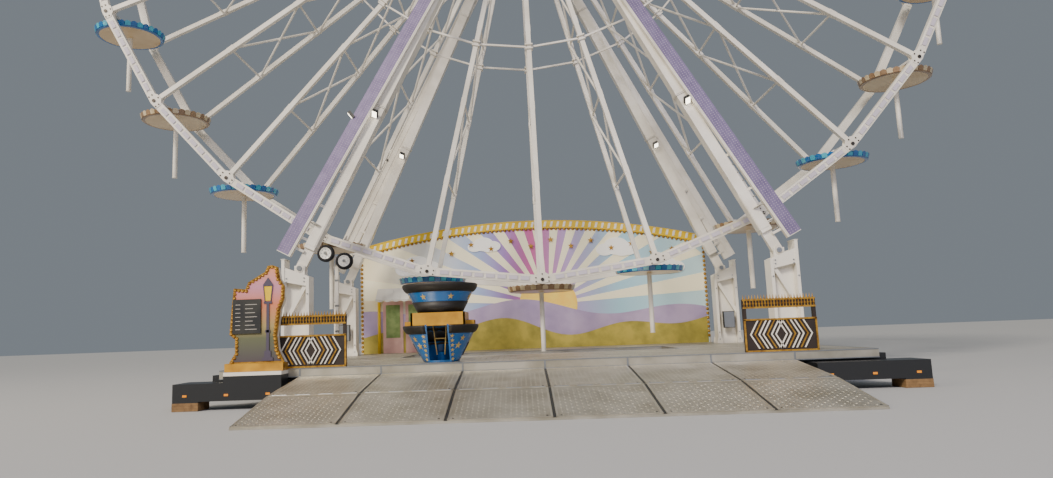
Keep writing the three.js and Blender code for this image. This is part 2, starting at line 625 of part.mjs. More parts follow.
function drivePlace(turn, y) {
  return onWheel(turn, driveRadius, y).add(point(0, 0, HUB_HEIGHT));
}

function driveTyre() {
  const half = TYRE.width / 2;
  const wheel = rod(point(0, -half, 0), point(0, half, 0), TYRE.radius, TYRE.sides, ALONG_X);
  const bore = rod(point(0, -TYRE.width, 0), point(0, TYRE.width, 0), TYRE.bore, ROUND_SIDES, ALONG_X);
  return wheel.subtract(bore);
}

// The post behind the front rim, with an arm and a stub axle for each tyre.
function driveStand() {
  const { width, place } = DRIVE_POST;
  const centres = DRIVE_TURNS.map((turn) => drivePlace(turn, place));
  const middle = centres[0].clone().lerp(centres[1], 0.5);
  const foot = point(middle.x, place, DECK_TOP + FIT_GAP);
  const half = width / 2;
  const post = block(point(foot.x - half, place - half, foot.z),
    point(foot.x + half, place + half, middle.z));
  const soleHalf = DRIVE_SOLE.size / 2;
  const sole = block(point(foot.x - soleHalf, place - soleHalf, foot.z),
    point(foot.x + soleHalf, place + soleHalf, foot.z + DRIVE_SOLE.thickness));
  const arm = bar(centres[0], centres[1], width, width, ALONG_Y);
  const tyreHalf = TYRE.width / 2;
  const stubs = centres.flatMap((centre) => {
    const end = centre.clone().setY(-RIM_HALF_GAP - tyreHalf - DRIVE_PIN_END);
    const shoulder = centre.clone().setY(-RIM_HALF_GAP + tyreHalf + FIT_GAP);
    return [rod(centre, end, DRIVE_PIN_RADIUS, ROUND_SIDES, ALONG_X),
      rod(centre, shoulder, DRIVE_HUB_RADIUS, ROUND_SIDES, ALONG_X)];
  });
  return joined([post, sole, arm, ...stubs]);
}

const part = new THREE.Group();

// The wheel, turned to its place of rest.
const wheel = new THREE.Group();
wheel.position.z = HUB_HEIGHT;
wheel.rotation.y = -REST_TURN;
wheel.add(piece('hub_barrel', geometryOf(hubBarrel()), paint.cream));
const sectorGeometry = geometryOf(sector(SPOKES_A_SECTOR));
for (let number = 1; number <= CABIN_COUNT / SPOKES_A_SECTOR; number += 1) {
  const mesh = piece(`wheel_sector_${number}`, sectorGeometry, paint.cream);
  mesh.rotation.y = -(FIRST_CORNER + (number - 1) * SPOKES_A_SECTOR) * CORNER_STEP;
  wheel.add(mesh);
}
part.add(wheel);

// The cabins hang level at the corners of the rim.
function cabinAxle(number) {
  const turn = REST_TURN + (number - BOTTOM_CORNER) * CORNER_STEP;
  return onWheel(turn, RIM_RADIUS).add(point(0, 0, HUB_HEIGHT));
}

const roofGeometry = geometryOf(cabinRoof());
for (let number = 1; number <= CABIN_COUNT; number += 1) {
  const finish = number % 2 ? paint.roofBlue : paint.roofTan;
  const cabin = piece(`cabin_${String(number).padStart(2, '0')}`, roofGeometry, finish);
  cabin.position.copy(cabinAxle(number));
  part.add(cabin);
}

// Legs, light panels, axle and heads.
const sideName = new Map([[-1, 'left'], [1, 'right']]);
const frontName = new Map([[-1, 'front'], [1, 'rear']]);
for (const left of SIDES) {
  for (const front of SIDES) {
    const place = `${frontName.get(front)}_${sideName.get(left)}`;
    part.add(piece(`leg_${place}`, geometryOf(leg(left, front)), paint.cream));
    part.add(piece(`light_panel_${place}`, geometryOf(lightPanel(left, front)), paint.panel));
  }
}
part.add(piece('axle_and_bearing_heads', geometryOf(axleAndHeads()), paint.steel));

// Base, deck, ramps, railings and the painted pieces.
part.add(piece('base_frame', geometryOf(baseFrame()), paint.dark));
part.add(piece('deck', geometryOf(deck()), paint.deck));
part.add(piece('ramp', geometryOf(ramp()), paint.deck));
const stackMesh = piece('tub_stack', geometryOf(tubStack()), paint.tubBlue);
stackMesh.position.set(STACK_PLACE.x, STACK_PLACE.y, DECK_TOP + FIT_GAP);
part.add(stackMesh);
for (const side of SIDES) {
  part.add(piece(`fence_${sideName.get(side)}`, geometryOf(fence(side)), paint.gold));
}
part.add(piece('backdrop', geometryOf(backdrop()), paint.sky));
part.add(piece('sign_board', geometryOf(signBoard()), paint.gold));

// The friction drive under the front rim.
part.add(piece('drive_stand', geometryOf(driveStand()), paint.cream));
const tyreGeometry = geometryOf(driveTyre());
DRIVE_TURNS.forEach((turn, index) => {
  const tyre = piece(`drive_tyre_${index + 1}`, tyreGeometry, paint.tyre);
  tyre.position.copy(drivePlace(turn, -RIM_HALF_GAP));
  part.add(tyre);
});

export default part;
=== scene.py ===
# %% [markdown]
# # A travelling ferris wheel, dressed in Blender
# The packed model holds the steelwork: rims, spokes, legs, cabins, deck, ramp and boards. This
# lesson adds what is too small or too soft for it, such as bolts, lamps, crests of leaves,
# upholstery, tread studs and painted ornament, and gives every piece the finish of the real one.

# %% Load the packed frame
import json
import math

import bpy
from mathutils import Matrix, Vector


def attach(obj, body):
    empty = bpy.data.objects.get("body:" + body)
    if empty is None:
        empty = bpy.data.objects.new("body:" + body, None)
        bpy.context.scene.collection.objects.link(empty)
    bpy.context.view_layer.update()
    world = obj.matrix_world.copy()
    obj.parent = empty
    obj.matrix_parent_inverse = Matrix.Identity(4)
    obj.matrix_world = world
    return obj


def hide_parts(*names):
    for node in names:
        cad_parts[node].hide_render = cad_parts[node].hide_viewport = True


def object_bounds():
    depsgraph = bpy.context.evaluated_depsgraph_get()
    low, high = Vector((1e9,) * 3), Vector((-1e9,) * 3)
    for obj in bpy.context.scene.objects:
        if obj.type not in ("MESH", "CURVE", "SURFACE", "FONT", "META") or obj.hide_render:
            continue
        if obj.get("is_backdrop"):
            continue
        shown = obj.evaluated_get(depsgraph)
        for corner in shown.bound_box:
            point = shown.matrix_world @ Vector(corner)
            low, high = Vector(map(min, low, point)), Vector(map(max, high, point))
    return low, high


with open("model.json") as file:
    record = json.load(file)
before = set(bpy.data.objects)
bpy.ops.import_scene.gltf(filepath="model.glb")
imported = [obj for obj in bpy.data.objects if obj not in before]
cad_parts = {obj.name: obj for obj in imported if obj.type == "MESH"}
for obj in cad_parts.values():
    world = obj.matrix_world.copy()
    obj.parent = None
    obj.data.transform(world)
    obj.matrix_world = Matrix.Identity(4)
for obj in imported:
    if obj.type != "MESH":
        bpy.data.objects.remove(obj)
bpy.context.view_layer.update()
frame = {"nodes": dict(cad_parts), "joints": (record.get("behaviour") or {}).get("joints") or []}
joints = {joint["name"]: Vector(joint["pos_m"]) for joint in frame["joints"]}

# %% [markdown]
# ## Places on the ride
# Everything on the wheel is found from its hub and from a turn, which counts from straight down.
# The hub and the cabin pivots are joints of the packed model, so the dressing lands on the steel
# without any fitting by eye.

# %% Places on the wheel
HUB = joints["wheel_spin"]
PIVOTS = [joints[f"cabin_{number:02d}_pivot"] for number in range(1, 27)]
CORNERS = [math.atan2(pivot.x, HUB.z - pivot.z) for pivot in PIVOTS]
RIM_RADIUS = (PIVOTS[0] - HUB).length
STEP = 2 * math.pi / len(PIVOTS)
RIM_HALF_GAP = 1.42
RIM_WIDTH = 0.16
FLANGE_RADIUS = 1.0
FLANGE_HALF_GAP = 0.73
SIDES = (-1, 1)
ALONG_X = Vector((1, 0, 0))
ALONG_Y = Vector((0, 1, 0))
UP = Vector((0, 0, 1))


def on_wheel(turn, radius, y=0.0):
    return Vector((HUB.x + radius * math.sin(turn), y, HUB.z - radius * math.cos(turn)))


def along_rim(turn):
    return Vector((math.cos(turn), 0, math.sin(turn)))


def outwards(turn):
    return Vector((math.sin(turn), 0, -math.cos(turn)))


def chord_place(radius):
    """How far a spoke's chord stands from the wheel's middle plane."""
    share = (radius - FLANGE_RADIUS) / (RIM_RADIUS - FLANGE_RADIUS)
    return FLANGE_HALF_GAP + share * (RIM_HALF_GAP - FLANGE_HALF_GAP)


print("rim radius", round(RIM_RADIUS, 3), "m, hub", round(HUB.z, 2), "m up")

# %% [markdown]
# ## One small kit of closed forms
# Fairground steelwork is boxes, tubes and flat plates. Each form below is closed, so a real solid
# stands behind every face, and many of them share one mesh: a thousand bolts cost one object. A
# modifier on a cube or a circle could give the same shapes, one by one; lists of points and faces
# give them all at once, exactly where the steel is.

# %% A mesh that gathers closed forms
def spread(first, last, count):
    return [first + (last - first) * step / (count - 1) for step in range(count)]


def turns(count):
    """Equal turns all round."""
    return [2 * math.pi * step / count for step in range(count)]


def winding(outline):
    """Twice the area of an outline, which is negative when its corners run clockwise."""
    return sum(a * d - c * b for (a, b), (c, d) in zip(outline, outline[1:] + outline[:1]))


class Form:
    """Closed solids that become one mesh."""

    def __init__(self):
        self.points = []
        self.faces = []

    def add(self, points, faces, inside_out=False):
        start = len(self.points)
        self.points.extend(tuple(point) for point in points)
        for face in faces:
            corners = tuple(start + corner for corner in face)
            self.faces.append(corners[::-1] if inside_out else corners)

    def box(self, centre, x, y, z):
        """A box from its centre and its three half edges."""
        points = [centre + a * x + b * y + c * z for a in SIDES for b in SIDES for c in SIDES]
        faces = [(0, 1, 3, 2), (4, 6, 7, 5), (0, 4, 5, 1), (2, 3, 7, 6), (0, 2, 6, 4), (1, 5, 7, 3)]
        self.add(points, faces, x.cross(y).dot(z) < 0)

    def block(self, low, high):
        """A box with level edges, from its lowest and highest corners."""
        low, high = Vector(low), Vector(high)
        half = (high - low) / 2
        self.box((low + high) / 2, ALONG_X * half.x, ALONG_Y * half.y, UP * half.z)

    def bar(self, start, end, width, depth, across):
        """A square bar: width is measured along `across`."""
        length = end - start
        x = (across - across.project(length)).normalized()
        y = length.normalized()
        self.box((start + end) / 2, x * width / 2, length / 2, x.cross(y) * depth / 2)

    def loft(self, loops, inside_out=False):
        """Joins loops with as many corners, one to the next, and closes both ends."""
        count = len(loops[0])
        last = (len(loops) - 1) * count
        around = range(count)
        faces = [(row + i, row + (i + 1) % count, row + count + (i + 1) % count, row + count + i)
                 for row in range(0, last, count) for i in around]
        faces += [tuple(reversed(around)), tuple(last + i for i in around)]
        self.add([point for loop in loops for point in loop], faces, inside_out)

    def tube(self, start, end, radius, sides=12, end_radius=None):
        """A round bar between two points, or a cone where the end has a radius of its own."""
        axis = (end - start).normalized()
        u = axis.orthogonal().normalized()
        v = axis.cross(u)
        spokes = [u * math.cos(turn) + v * math.sin(turn) for turn in turns(sides)]
        end_radius = radius if end_radius is None else end_radius
        self.loft([[start + spoke * radius for spoke in spokes],
                   [end + spoke * end_radius for spoke in spokes]])

    def bolt(self, foot, way, radius, height, sides=6):
        """A bolt head, or with more sides a pin's head, that stands up from its foot."""
        self.tube(foot, foot + way * height, radius, sides)

    def plate(self, outline, origin, u, v, thickness):
        """A flat outline, given in u and v, made thick along u cross v."""
        depth = u.cross(v).normalized() * thickness
        near = [origin + u * a + v * b for a, b in outline]
        self.loft([near, [point + depth for point in near]], winding(outline) < 0)

    def turned(self, profile, origin, sides, first=0.0, last=2 * math.pi, axis=UP):
        """A closed [radius, height] profile turned about an axis, all round or over a part of it."""
        whole = last - first > 2 * math.pi - 1e-6
        steps = sides if whole else sides + 1
        u = ALONG_X if axis is UP else axis.orthogonal().normalized()
        v = axis.cross(u)
        points = []
        for step in range(steps):
            turn = first + (last - first) * step / sides
            spoke = u * math.cos(turn) + v * math.sin(turn)
            points += [origin + spoke * radius + axis * height for radius, height in profile]
        count = len(profile)
        faces = []
        for step in range(sides):
            a, b = step * count, (step + 1) % steps * count
            faces += [(a + i, b + i, b + (i + 1) % count, a + (i + 1) % count) for i in range(count)]
        if not whole:
            faces += [tuple(reversed(range(count))), tuple((steps - 1) * count + i for i in range(count))]
        self.add(points, faces, winding(profile) < 0)


def forms(count):
    return [Form() for _ in range(count)]


print("the kit has", ", ".join(name for name in vars(Form) if not name.startswith("_")))


# %% [markdown]
# ## From a form to a piece
# A piece takes a form, a finish and the moving body that carries it.
# Cabins share one mesh twenty-six times, so a mesh can also be placed at an origin of its own.

# %% Make a piece of the ride
made = {}


def mesh_of(form, name, material, smooth=False):
    mesh = bpy.data.meshes.new(name)
    mesh.from_pydata(form.points, [], form.faces)
    mesh.materials.append(material)
    mesh.polygons.foreach_set("use_smooth", [smooth] * len(mesh.polygons))
    mesh.update()
    return mesh


def place(name, mesh, body, slot, origin=(0, 0, 0), turn=0.0):
    piece = bpy.data.objects.new(name, mesh)
    bpy.context.scene.collection.objects.link(piece)
    piece.location = origin
    piece.rotation_euler.z = turn
    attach(piece, body)
    made[name] = sum(len(face.vertices) - 2 for face in mesh.polygons)
    return piece


def make(name, form, material, body, slot, smooth=False):
    return place(name, mesh_of(form, name, material, smooth), body, slot)


# %% [markdown]
# ## Finishes
# A finish starts from what the real surface is. Colours are written as the sRGB hex values that a
# painter would match, and one function turns them to the linear values that light is worked out in.
# Dust, rain and wear cloud every surface, so most finishes let a second colour drift over the first
# in patches of a real size.

# %% Colour and node helpers
CLOUD_BAND = (0.32, 0.62)


def linear(hex_colour):
    """An sRGB hex colour as linear red, green, blue and alpha."""
    shares = [int(hex_colour[i:i + 2], 16) / 255 for i in (1, 3, 5)]
    return tuple(c / 12.92 if c <= 0.04045 else ((c + 0.055) / 1.055) ** 2.4 for c in shares) + (1.0,)


def add_node(material, kind, settings=None, links=None):
    """Adds a node, sets its sockets or properties, and links its inputs; a number names a socket too."""
    tree = material.node_tree
    node = tree.nodes.new(kind)
    for name, value in (settings or {}).items():
        if isinstance(name, int) or name in node.inputs:
            node.inputs[name].default_value = value
        else:
            setattr(node, name, value)
    for name, source in (links or {}).items():
        tree.links.new(source, node.inputs[name])
    return node


def shader_of(material):
    return material.node_tree.nodes["Principled BSDF"]


def finish(name, hex_colour, roughness, metallic=0.0, coat=0.0, glow=0.0):
    """A plain finish: one shader with its numbers on its own sockets."""
    material = bpy.data.materials.new(name)
    material.use_nodes = True
    sockets = shader_of(material).inputs
    sockets["Base Color"].default_value = linear(hex_colour)
    sockets["Roughness"].default_value = roughness
    sockets["Metallic"].default_value = metallic
    sockets["Coat Weight"].default_value = coat
    if glow:
        sockets["Emission Color"].default_value = linear(hex_colour)
        sockets["Emission Strength"].default_value = glow
    return material


def metres(material):
    """The place on a piece in metres, which moves with the piece."""
    return add_node(material, "ShaderNodeTexCoord").outputs["Object"]


def mottled(material, hex_dark, patch_mm):
    """Lets a second colour cloud the first, in patches of a real size."""
    base = shader_of(material).inputs["Base Color"]
    noise = add_node(material, "ShaderNodeTexNoise", {"Scale": 1000 / patch_mm, "Detail": 4.0},
                     {"Vector": metres(material)})
    ramp = add_node(material, "ShaderNodeValToRGB", {}, {"Fac": noise.outputs["Fac"]})
    clouded, clear = ramp.color_ramp.elements
    clouded.position, clear.position = CLOUD_BAND
    clouded.color, clear.color = linear(hex_dark), tuple(base.default_value)
    material.node_tree.links.new(ramp.outputs["Color"], base)
    return material


print("mid grey is", round(linear("#808080")[0], 3), "in linear light")

# %% [markdown]
# ### Paint on steel
# The steelwork is sprayed with two-pack polyurethane: a smooth, fairly glossy skin that road dust
# clouds a little. A noise of about a metre gives that cloud, and the coat gives the wet highlight.
# Chassis paint is duller, and bronze paint holds metal flakes, which give it a broad warm shine.

# %% Paint finishes
CREAM = "#EDE8DD"
CHASSIS_BLACK = "#1D1F22"
cream_enamel = mottled(finish("cream_polyurethane_paint", CREAM, 0.38, coat=0.25), "#D9D3C6", 900)
black_enamel = mottled(finish("black_chassis_paint", CHASSIS_BLACK, 0.5), "#34342F", 400)
yellow_enamel = mottled(finish("yellow_sign_enamel", "#F4D014", 0.4, coat=0.2), "#E6BC0C", 600)
white_enamel = finish("white_sign_enamel", "#F3F1EA", 0.4, coat=0.2)
ochre_enamel = mottled(finish("ochre_enamel", "#CE9A24", 0.45, coat=0.1), "#A8761A", 400)
gold_paint = mottled(finish("gold_bronze_paint", "#C79A3E", 0.35, 0.6), "#94692A", 120)
pale_gold = mottled(finish("pale_gold_paint", "#E8CB80", 0.4, 0.3), "#C9A251", 120)
dark_brown_paint = mottled(finish("dark_brown_board_paint", "#2B2019", 0.6), "#1A130F", 300)
print("cream is", [round(c, 3) for c in linear(CREAM)[:3]], "in linear light")

# %% [markdown]
# ### Moulded fibreglass
# Cabin roofs and tubs are glass fibre with a coloured gel coat. It is as glossy as a boat, so the
# coat is strong and the colour barely varies.

# %% Gel coat finishes
gel = {
    "blue": mottled(finish("blue_gel_coat", "#1C6DB2", 0.25, coat=0.6), "#175C9A", 500),
    "turquoise": mottled(finish("turquoise_gel_coat", "#49B6CF", 0.25, coat=0.6), "#38A0BC", 500),
    "tan": mottled(finish("tan_gel_coat", "#9A7C5C", 0.3, coat=0.5), "#846748", 500),
    "beige": mottled(finish("beige_gel_coat", "#D8C6A2", 0.3, coat=0.5), "#C4AF88", 500),
    "sand": mottled(finish("sand_gel_coat", "#DCC298", 0.35, coat=0.3), "#CBAE80", 700),
}
print(len(gel), "gel coats")

# %% [markdown]
# ### Bare metal, lamps, rubber, vinyl and timber
# Bolts are zinc plated or dark with oil, the floor is rolled aluminium tread plate, and the lamp
# covers are lilac-grey acrylic with a faint light of their own. A metal keeps its default IOR and
# gets its look from roughness. Tyre rubber is dull and dusty, grained vinyl has a soft shine, and
# primed plywood and sawn pine are matte. The grain of rubber and vinyl is a millimetre wide or
# less; its patches are drawn 30 to 40 mm wide, or they would not show.

# %% Metal, lamp, rubber, vinyl and timber finishes
zinc_bolts = finish("zinc_plated_steel", "#A9ADB0", 0.35, 1.0)
rolled_aluminium = mottled(finish("rolled_aluminium_sheet", "#C9C4B6", 0.42, 0.75), "#ABA594", 700)
tread_aluminium = mottled(finish("aluminium_tread_studs", "#D6D1C2", 0.35, 0.75), "#BDB7A6", 500)
oiled_bolts = finish("oiled_dark_steel", "#4B4744", 0.45, 1.0)
lilac_acrylic = finish("lilac_grey_lamp_cover", "#C6BFCB", 0.35, glow=0.06)
flood_glass = finish("flood_lamp_glass", "#FFF4DC", 0.2, glow=6.0)
tyre_rubber = mottled(finish("tyre_rubber", "#17171A", 0.85), "#26262A", 40)
black_vinyl = mottled(finish("black_grained_vinyl", "#1C1916", 0.5), "#2A2622", 30)
primed_plywood = mottled(finish("primed_plywood", "#CFC9BC", 0.75), "#BDB6A8", 900)
pine_timber = mottled(finish("sawn_pine_packing", "#8A6B45", 0.8), "#6D5234", 150)
amber_lens = finish("amber_marker_lens", "#E08A1A", 0.3, glow=0.3)
print(len(bpy.data.materials), "finishes so far")

# %% [markdown]
# ## Tread plate
# Ramp and deck are aluminium sheet rolled with raised lozenges, so that wet shoes grip. The studs
# are real geometry, because they catch the light at a low angle. A real stud is about 30 mm long;
# these are drawn larger, or they would vanish in the render.

# %% A plate with raised studs
STUD_PITCH = 0.105
STUD_HALF_LENGTH = 0.030
STUD_HALF_WIDTH = 0.009
STUD_HEIGHT = 0.005
STUD_TOP = 0.5
STUD_FACES = [(3, 2, 1, 0), (4, 5, 6, 7), (0, 1, 5, 4), (1, 2, 6, 5), (2, 3, 7, 6), (3, 0, 4, 7)]


def tread_plate(sheet, studs, corner, u, v, width, length, thickness, pitch=STUD_PITCH):
    """A sheet from one corner along u and v, with lozenges turned one way and the other."""
    normal = u.cross(v)
    middle = corner + u * width / 2 + v * length / 2 + normal * thickness / 2
    sheet.box(middle, u * width / 2, v * length / 2, normal * thickness / 2)
    for row in range(1, int(length / pitch)):
        for column in range(1, int(width / pitch)):
            spot = corner + u * column * pitch + v * row * pitch + normal * thickness
            lean = 1 if (row + column) % 2 else -1
            long_way = (u + v * lean).normalized() * STUD_HALF_LENGTH
            short_way = normal.cross(long_way).normalized() * STUD_HALF_WIDTH
            foot = [spot - long_way, spot - short_way, spot + long_way, spot + short_way]
            top = [spot + (point - spot) * STUD_TOP + normal * STUD_HEIGHT for point in foot]
            studs.add(foot + top, STUD_FACES)


print("a stud every", STUD_PITCH, "m")

# %% [markdown]
# ## Rims
# Each rim is a run of box beams bolted together at the corners. A gusset plate on each face holds
# the two beams and the spoke, with five bolts and the round head of the cross-beam's pin.

# %% Gusset plates and bolts on the rims
PLATE = 0.014
GUSSET = [(-0.26, 0.1), (0.26, 0.1), (0.26, -0.1), (0.1, -0.22), (-0.1, -0.22), (-0.26, -0.1)]
GUSSET_BOLTS = [(-0.2, 0.06), (-0.2, -0.06), (0.2, 0.06), (0.2, -0.06), (0, -0.17)]
RIM_BOLT = {"radius": 0.024, "height": 0.018}
RIM_PIN = {"radius": 0.055, "height": 0.045, "sides": 12}
gussets, rim_bolts = forms(2)
for turn in CORNERS:
    tangent, out = along_rim(turn), outwards(turn)
    for side in SIDES:
        for face in SIDES:
            y = side * RIM_HALF_GAP + face * RIM_WIDTH / 2
            way = ALONG_Y * face
            u = tangent if tangent.cross(out).dot(way) > 0 else -tangent
            gussets.plate(GUSSET, on_wheel(turn, RIM_RADIUS, y), u, out, PLATE)
            if face == side:
                for a, b in GUSSET_BOLTS:
                    spot = on_wheel(turn, RIM_RADIUS + b, y) + tangent * a
                    rim_bolts.bolt(spot + way * PLATE, way, **RIM_BOLT)
                rim_bolts.bolt(on_wheel(turn, RIM_RADIUS, y), way, **RIM_PIN)
make("rim_gussets", gussets, cream_enamel, "wheel", "cream_paint")
make("rim_bolts", rim_bolts, oiled_bolts, "wheel", "cream_paint")
print(len(CORNERS), "corners dressed")

# %% [markdown]
# ### Lamps on the rims
# Lilac-grey covers hide the lamps, eight to a bay, in a row on each rim's outward face. Two thin
# strips run beside them.

# %% Lamp covers and their trays
LAMP = {"length": 0.27, "height": 0.12, "depth": 0.03, "pitch": 0.36, "count": 8}
TRAY = {"place": 0.078, "proud": 0.004, "half_height": 0.012, "half_depth": 0.008}
BAY_RADIUS = RIM_RADIUS * math.cos(STEP / 2)
rim_lamps, lamp_trays = forms(2)
for turn in CORNERS:
    bay = turn + STEP / 2
    run, out = along_rim(bay), outwards(bay)
    for side in SIDES:
        face_place = side * (RIM_HALF_GAP + RIM_WIDTH / 2)
        for lamp in range(LAMP["count"]):
            shift = (lamp - (LAMP["count"] - 1) / 2) * LAMP["pitch"]
            spot = on_wheel(bay, BAY_RADIUS, face_place) + run * shift
            rim_lamps.box(spot + ALONG_Y * side * LAMP["depth"] / 2, run * LAMP["length"] / 2,
                          out * LAMP["height"] / 2, ALONG_Y * LAMP["depth"] / 2)
        spot = on_wheel(bay, BAY_RADIUS, face_place + side * TRAY["proud"])
        for edge in SIDES:
            lamp_trays.box(spot + out * edge * TRAY["place"], run * (LAMP["count"] / 2) * LAMP["pitch"],
                           out * TRAY["half_height"], ALONG_Y * TRAY["half_depth"])
make("rim_lamps", rim_lamps, lilac_acrylic, "wheel", "cream_paint")
make("rim_lamp_trays", lamp_trays, cream_enamel, "wheel", "cream_paint")
print(2 * len(CORNERS) * LAMP["count"], "lamp covers")

# %% [markdown]
# ## Spokes
# A spoke is a flat lattice: two box chords with round lacing. The packed solids hold the lacing as
# three-sided rods; round tubes slip over them here. Square struts close the panels, and small
# collars mark where the spoke's two halves and the inner ring are bolted.

# %% Lacing tubes, struts and collars
LACING_STATIONS = (12.0, 9.3, 6.6, 3.9, 1.3)
RING_RADIUS = 7.25
RING_SPREAD = 0.07
CHORD = 0.15
LACE_RADIUS = 0.036
LACE_OFFSET = 0.034
LACE_SIDES = 8
COLLAR = {"half": 0.13, "width": CHORD + 0.016}
CLAMP = {"half": 0.02, "width": CHORD + 0.1}


def collar(form, turn, radius, y, half, width):
    """A square sleeve round a spoke's chord."""
    low, high = on_wheel(turn, radius - half, y), on_wheel(turn, radius + half, y)
    form.bar(low, high, width, width, along_rim(turn))


lacing, collars = forms(2)
for turn in CORNERS:
    for far, near in zip(LACING_STATIONS, LACING_STATIONS[1:]):
        for side in SIDES:
            shift = along_rim(turn) * side * LACE_OFFSET
            lacing.tube(on_wheel(turn, far, side * chord_place(far)) + shift,
                        on_wheel(turn, near, -side * chord_place(near)) + shift, LACE_RADIUS, LACE_SIDES)
    for station in LACING_STATIONS[:-1]:
        y = chord_place(station)
        lacing.tube(on_wheel(turn, station, -y), on_wheel(turn, station, y), LACE_RADIUS, LACE_SIDES)
        for side in SIDES:
            collar(collars, turn, station, side * y, **COLLAR)
    for side in SIDES:
        for edge in SIDES:
            collar(collars, turn, RING_RADIUS + edge * RING_SPREAD, side * chord_place(RING_RADIUS), **CLAMP)
make("spoke_lacing", lacing, cream_enamel, "wheel", "cream_paint")
make("spoke_collars", collars, cream_enamel, "wheel", "cream_paint")
print(len(CORNERS), "spokes laced")

# %% [markdown]
# ## Cross-beams
# At each corner a beam joins the two rims and carries a cabin in its middle. Sheet-steel casings
# stiffen its ends, and a three-cornered bracket ties each casing to the rim.

# %% Cross-beam casings
CASING = 0.17
CASING_START = 0.31
RIM_INNER = RIM_HALF_GAP - RIM_WIDTH / 2
BRACKET = [(0, 0), (-0.22, 0), (0, -0.42)]
BRACKET_THICKNESS = 0.02
casings = Form()
for turn in CORNERS:
    tangent, out = along_rim(turn), outwards(turn)
    for side in SIDES:
        casings.bar(on_wheel(turn, RIM_RADIUS, side * CASING_START),
                    on_wheel(turn, RIM_RADIUS, side * RIM_INNER), CASING, CASING, tangent)
        corner = on_wheel(turn, RIM_RADIUS - CASING / 2, side * RIM_INNER) - tangent * BRACKET_THICKNESS / 2
        casings.plate(BRACKET, corner, ALONG_Y * side, out, BRACKET_THICKNESS)
make("cross_beam_casings", casings, cream_enamel, "wheel", "cream_paint")
print(2 * len(CORNERS), "casings")

# %% [markdown]
# ## Hub
# Each spoke chord is bolted to the hub's flange through a foot plate. A ring stiffens the flange's
# outer face, and ribs run from it to the drum.

# %% Foot plates, rings, ribs and bolts of the hub
FLANGE_FACE = FLANGE_HALF_GAP + 0.12
FOOT_HEIGHT = 0.03
FOOT_WIDTH = 0.2
FOOT_DEPTH = 0.22
FOOT_BOLT = {"radius": 0.014, "height": 0.02}
FOOT_BOLT_PLACE = 0.09
FLANGE_BOLT = {"radius": 0.03, "height": 0.03}
FLANGE_BOLT_CIRCLE = 0.8
FLANGE_RING = [(0.46, 0), (0.6, 0), (0.6, 0.035), (0.46, 0.035)]
RIB_START = 0.45
RIB_HEIGHT = 0.1
RIB_THICKNESS = 0.024
HUB_RIB = [(0, 0), (0.45, -RIB_HEIGHT), (0, -RIB_HEIGHT)]
feet, hub_bolts = forms(2)
for turn in CORNERS:
    out = outwards(turn)
    for side in SIDES:
        y = side * FLANGE_HALF_GAP
        foot, top = on_wheel(turn, FLANGE_RADIUS, y), on_wheel(turn, FLANGE_RADIUS + FOOT_HEIGHT, y)
        feet.bar(foot, top, FOOT_WIDTH, FOOT_DEPTH, along_rim(turn))
        for edge in SIDES:
            hub_bolts.bolt(top + ALONG_Y * edge * FOOT_BOLT_PLACE, out, **FOOT_BOLT)
        hub_bolts.bolt(on_wheel(turn, FLANGE_BOLT_CIRCLE, side * FLANGE_FACE), ALONG_Y * side, **FLANGE_BOLT)
for side in SIDES:
    feet.turned(FLANGE_RING, Vector((HUB.x, side * FLANGE_FACE, HUB.z)), 48, axis=ALONG_Y * side)
    for spoke in range(len(CORNERS) // 2):
        turn = CORNERS[0] + spoke * 2 * STEP
        start = on_wheel(turn, RIB_START, side * (FLANGE_FACE + RIB_HEIGHT))
        feet.plate(HUB_RIB, start - along_rim(turn) * RIB_THICKNESS / 2, outwards(turn), ALONG_Y * side,
                   RIB_THICKNESS)
make("hub_feet_and_ribs", feet, cream_enamel, "wheel", "cream_paint")
make("hub_bolts", hub_bolts, zinc_bolts, "wheel", "cream_paint")
print("hub fitted")

# %% [markdown]
# ## Cabin roofs
# A roof is a shallow round lid of glass fibre in sixteen gores of two colours, with a rolled edge
# and a pale lining. Each gore is a profile turned over a sixteenth of the circle, so that every
# second one can go into a piece of the other colour.

# %% Roof lid, rolled edge and lining
HERE = Vector((0, 0, 0))
ROOF_RADIUS = 1.057
ROOF_CROWN = -0.150
ROOF_EDGE = -0.205
LID_RADIUS = 1.02
LID_SPAN = (0.13, 1.018)
LID_SKIN = (0.006, -0.004)
GORES = 16
GORE_STEPS = 4
LINING_RADIUS = 0.975
ROLLED_EDGE = [(1.05, -0.122), (1.064, -0.125), (1.069, -0.145), (1.069, -0.26), (1.058, -0.291),
               (1.03, -0.302), (LINING_RADIUS - 0.005, -0.302), (LINING_RADIUS - 0.005, -0.287),
               (1.05, -0.287)]
LINING = [(0.08, -0.287), (LINING_RADIUS, -0.287), (LINING_RADIUS, -0.298), (0.08, -0.298)]
LINING_BOSS = [(0.074, -0.316), (0.16, -0.3), (0.16, -0.295), (0.074, -0.295)]


def gores(parity):
    form = Form()
    near, far = (ROOF_CROWN + (ROOF_EDGE - ROOF_CROWN) * radius / LID_RADIUS for radius in LID_SPAN)
    above, below = LID_SKIN
    profile = [(LID_SPAN[0], near + above), (LID_SPAN[1], far + above), (LID_SPAN[1], far + below),
               (LID_SPAN[0], near + below)]
    width = 2 * math.pi / GORES
    for gore in range(parity, GORES, 2):
        form.turned(profile, HERE, GORE_STEPS, gore * width, (gore + 1) * width)
    return form


def rolled_edge():
    form = Form()
    form.turned(ROLLED_EDGE, HERE, 64)
    return form


def lining():
    form = Form()
    form.turned(LINING, HERE, 64)
    form.turned(LINING_BOSS, HERE, 24)
    return form


print(GORES, "gores to a roof")

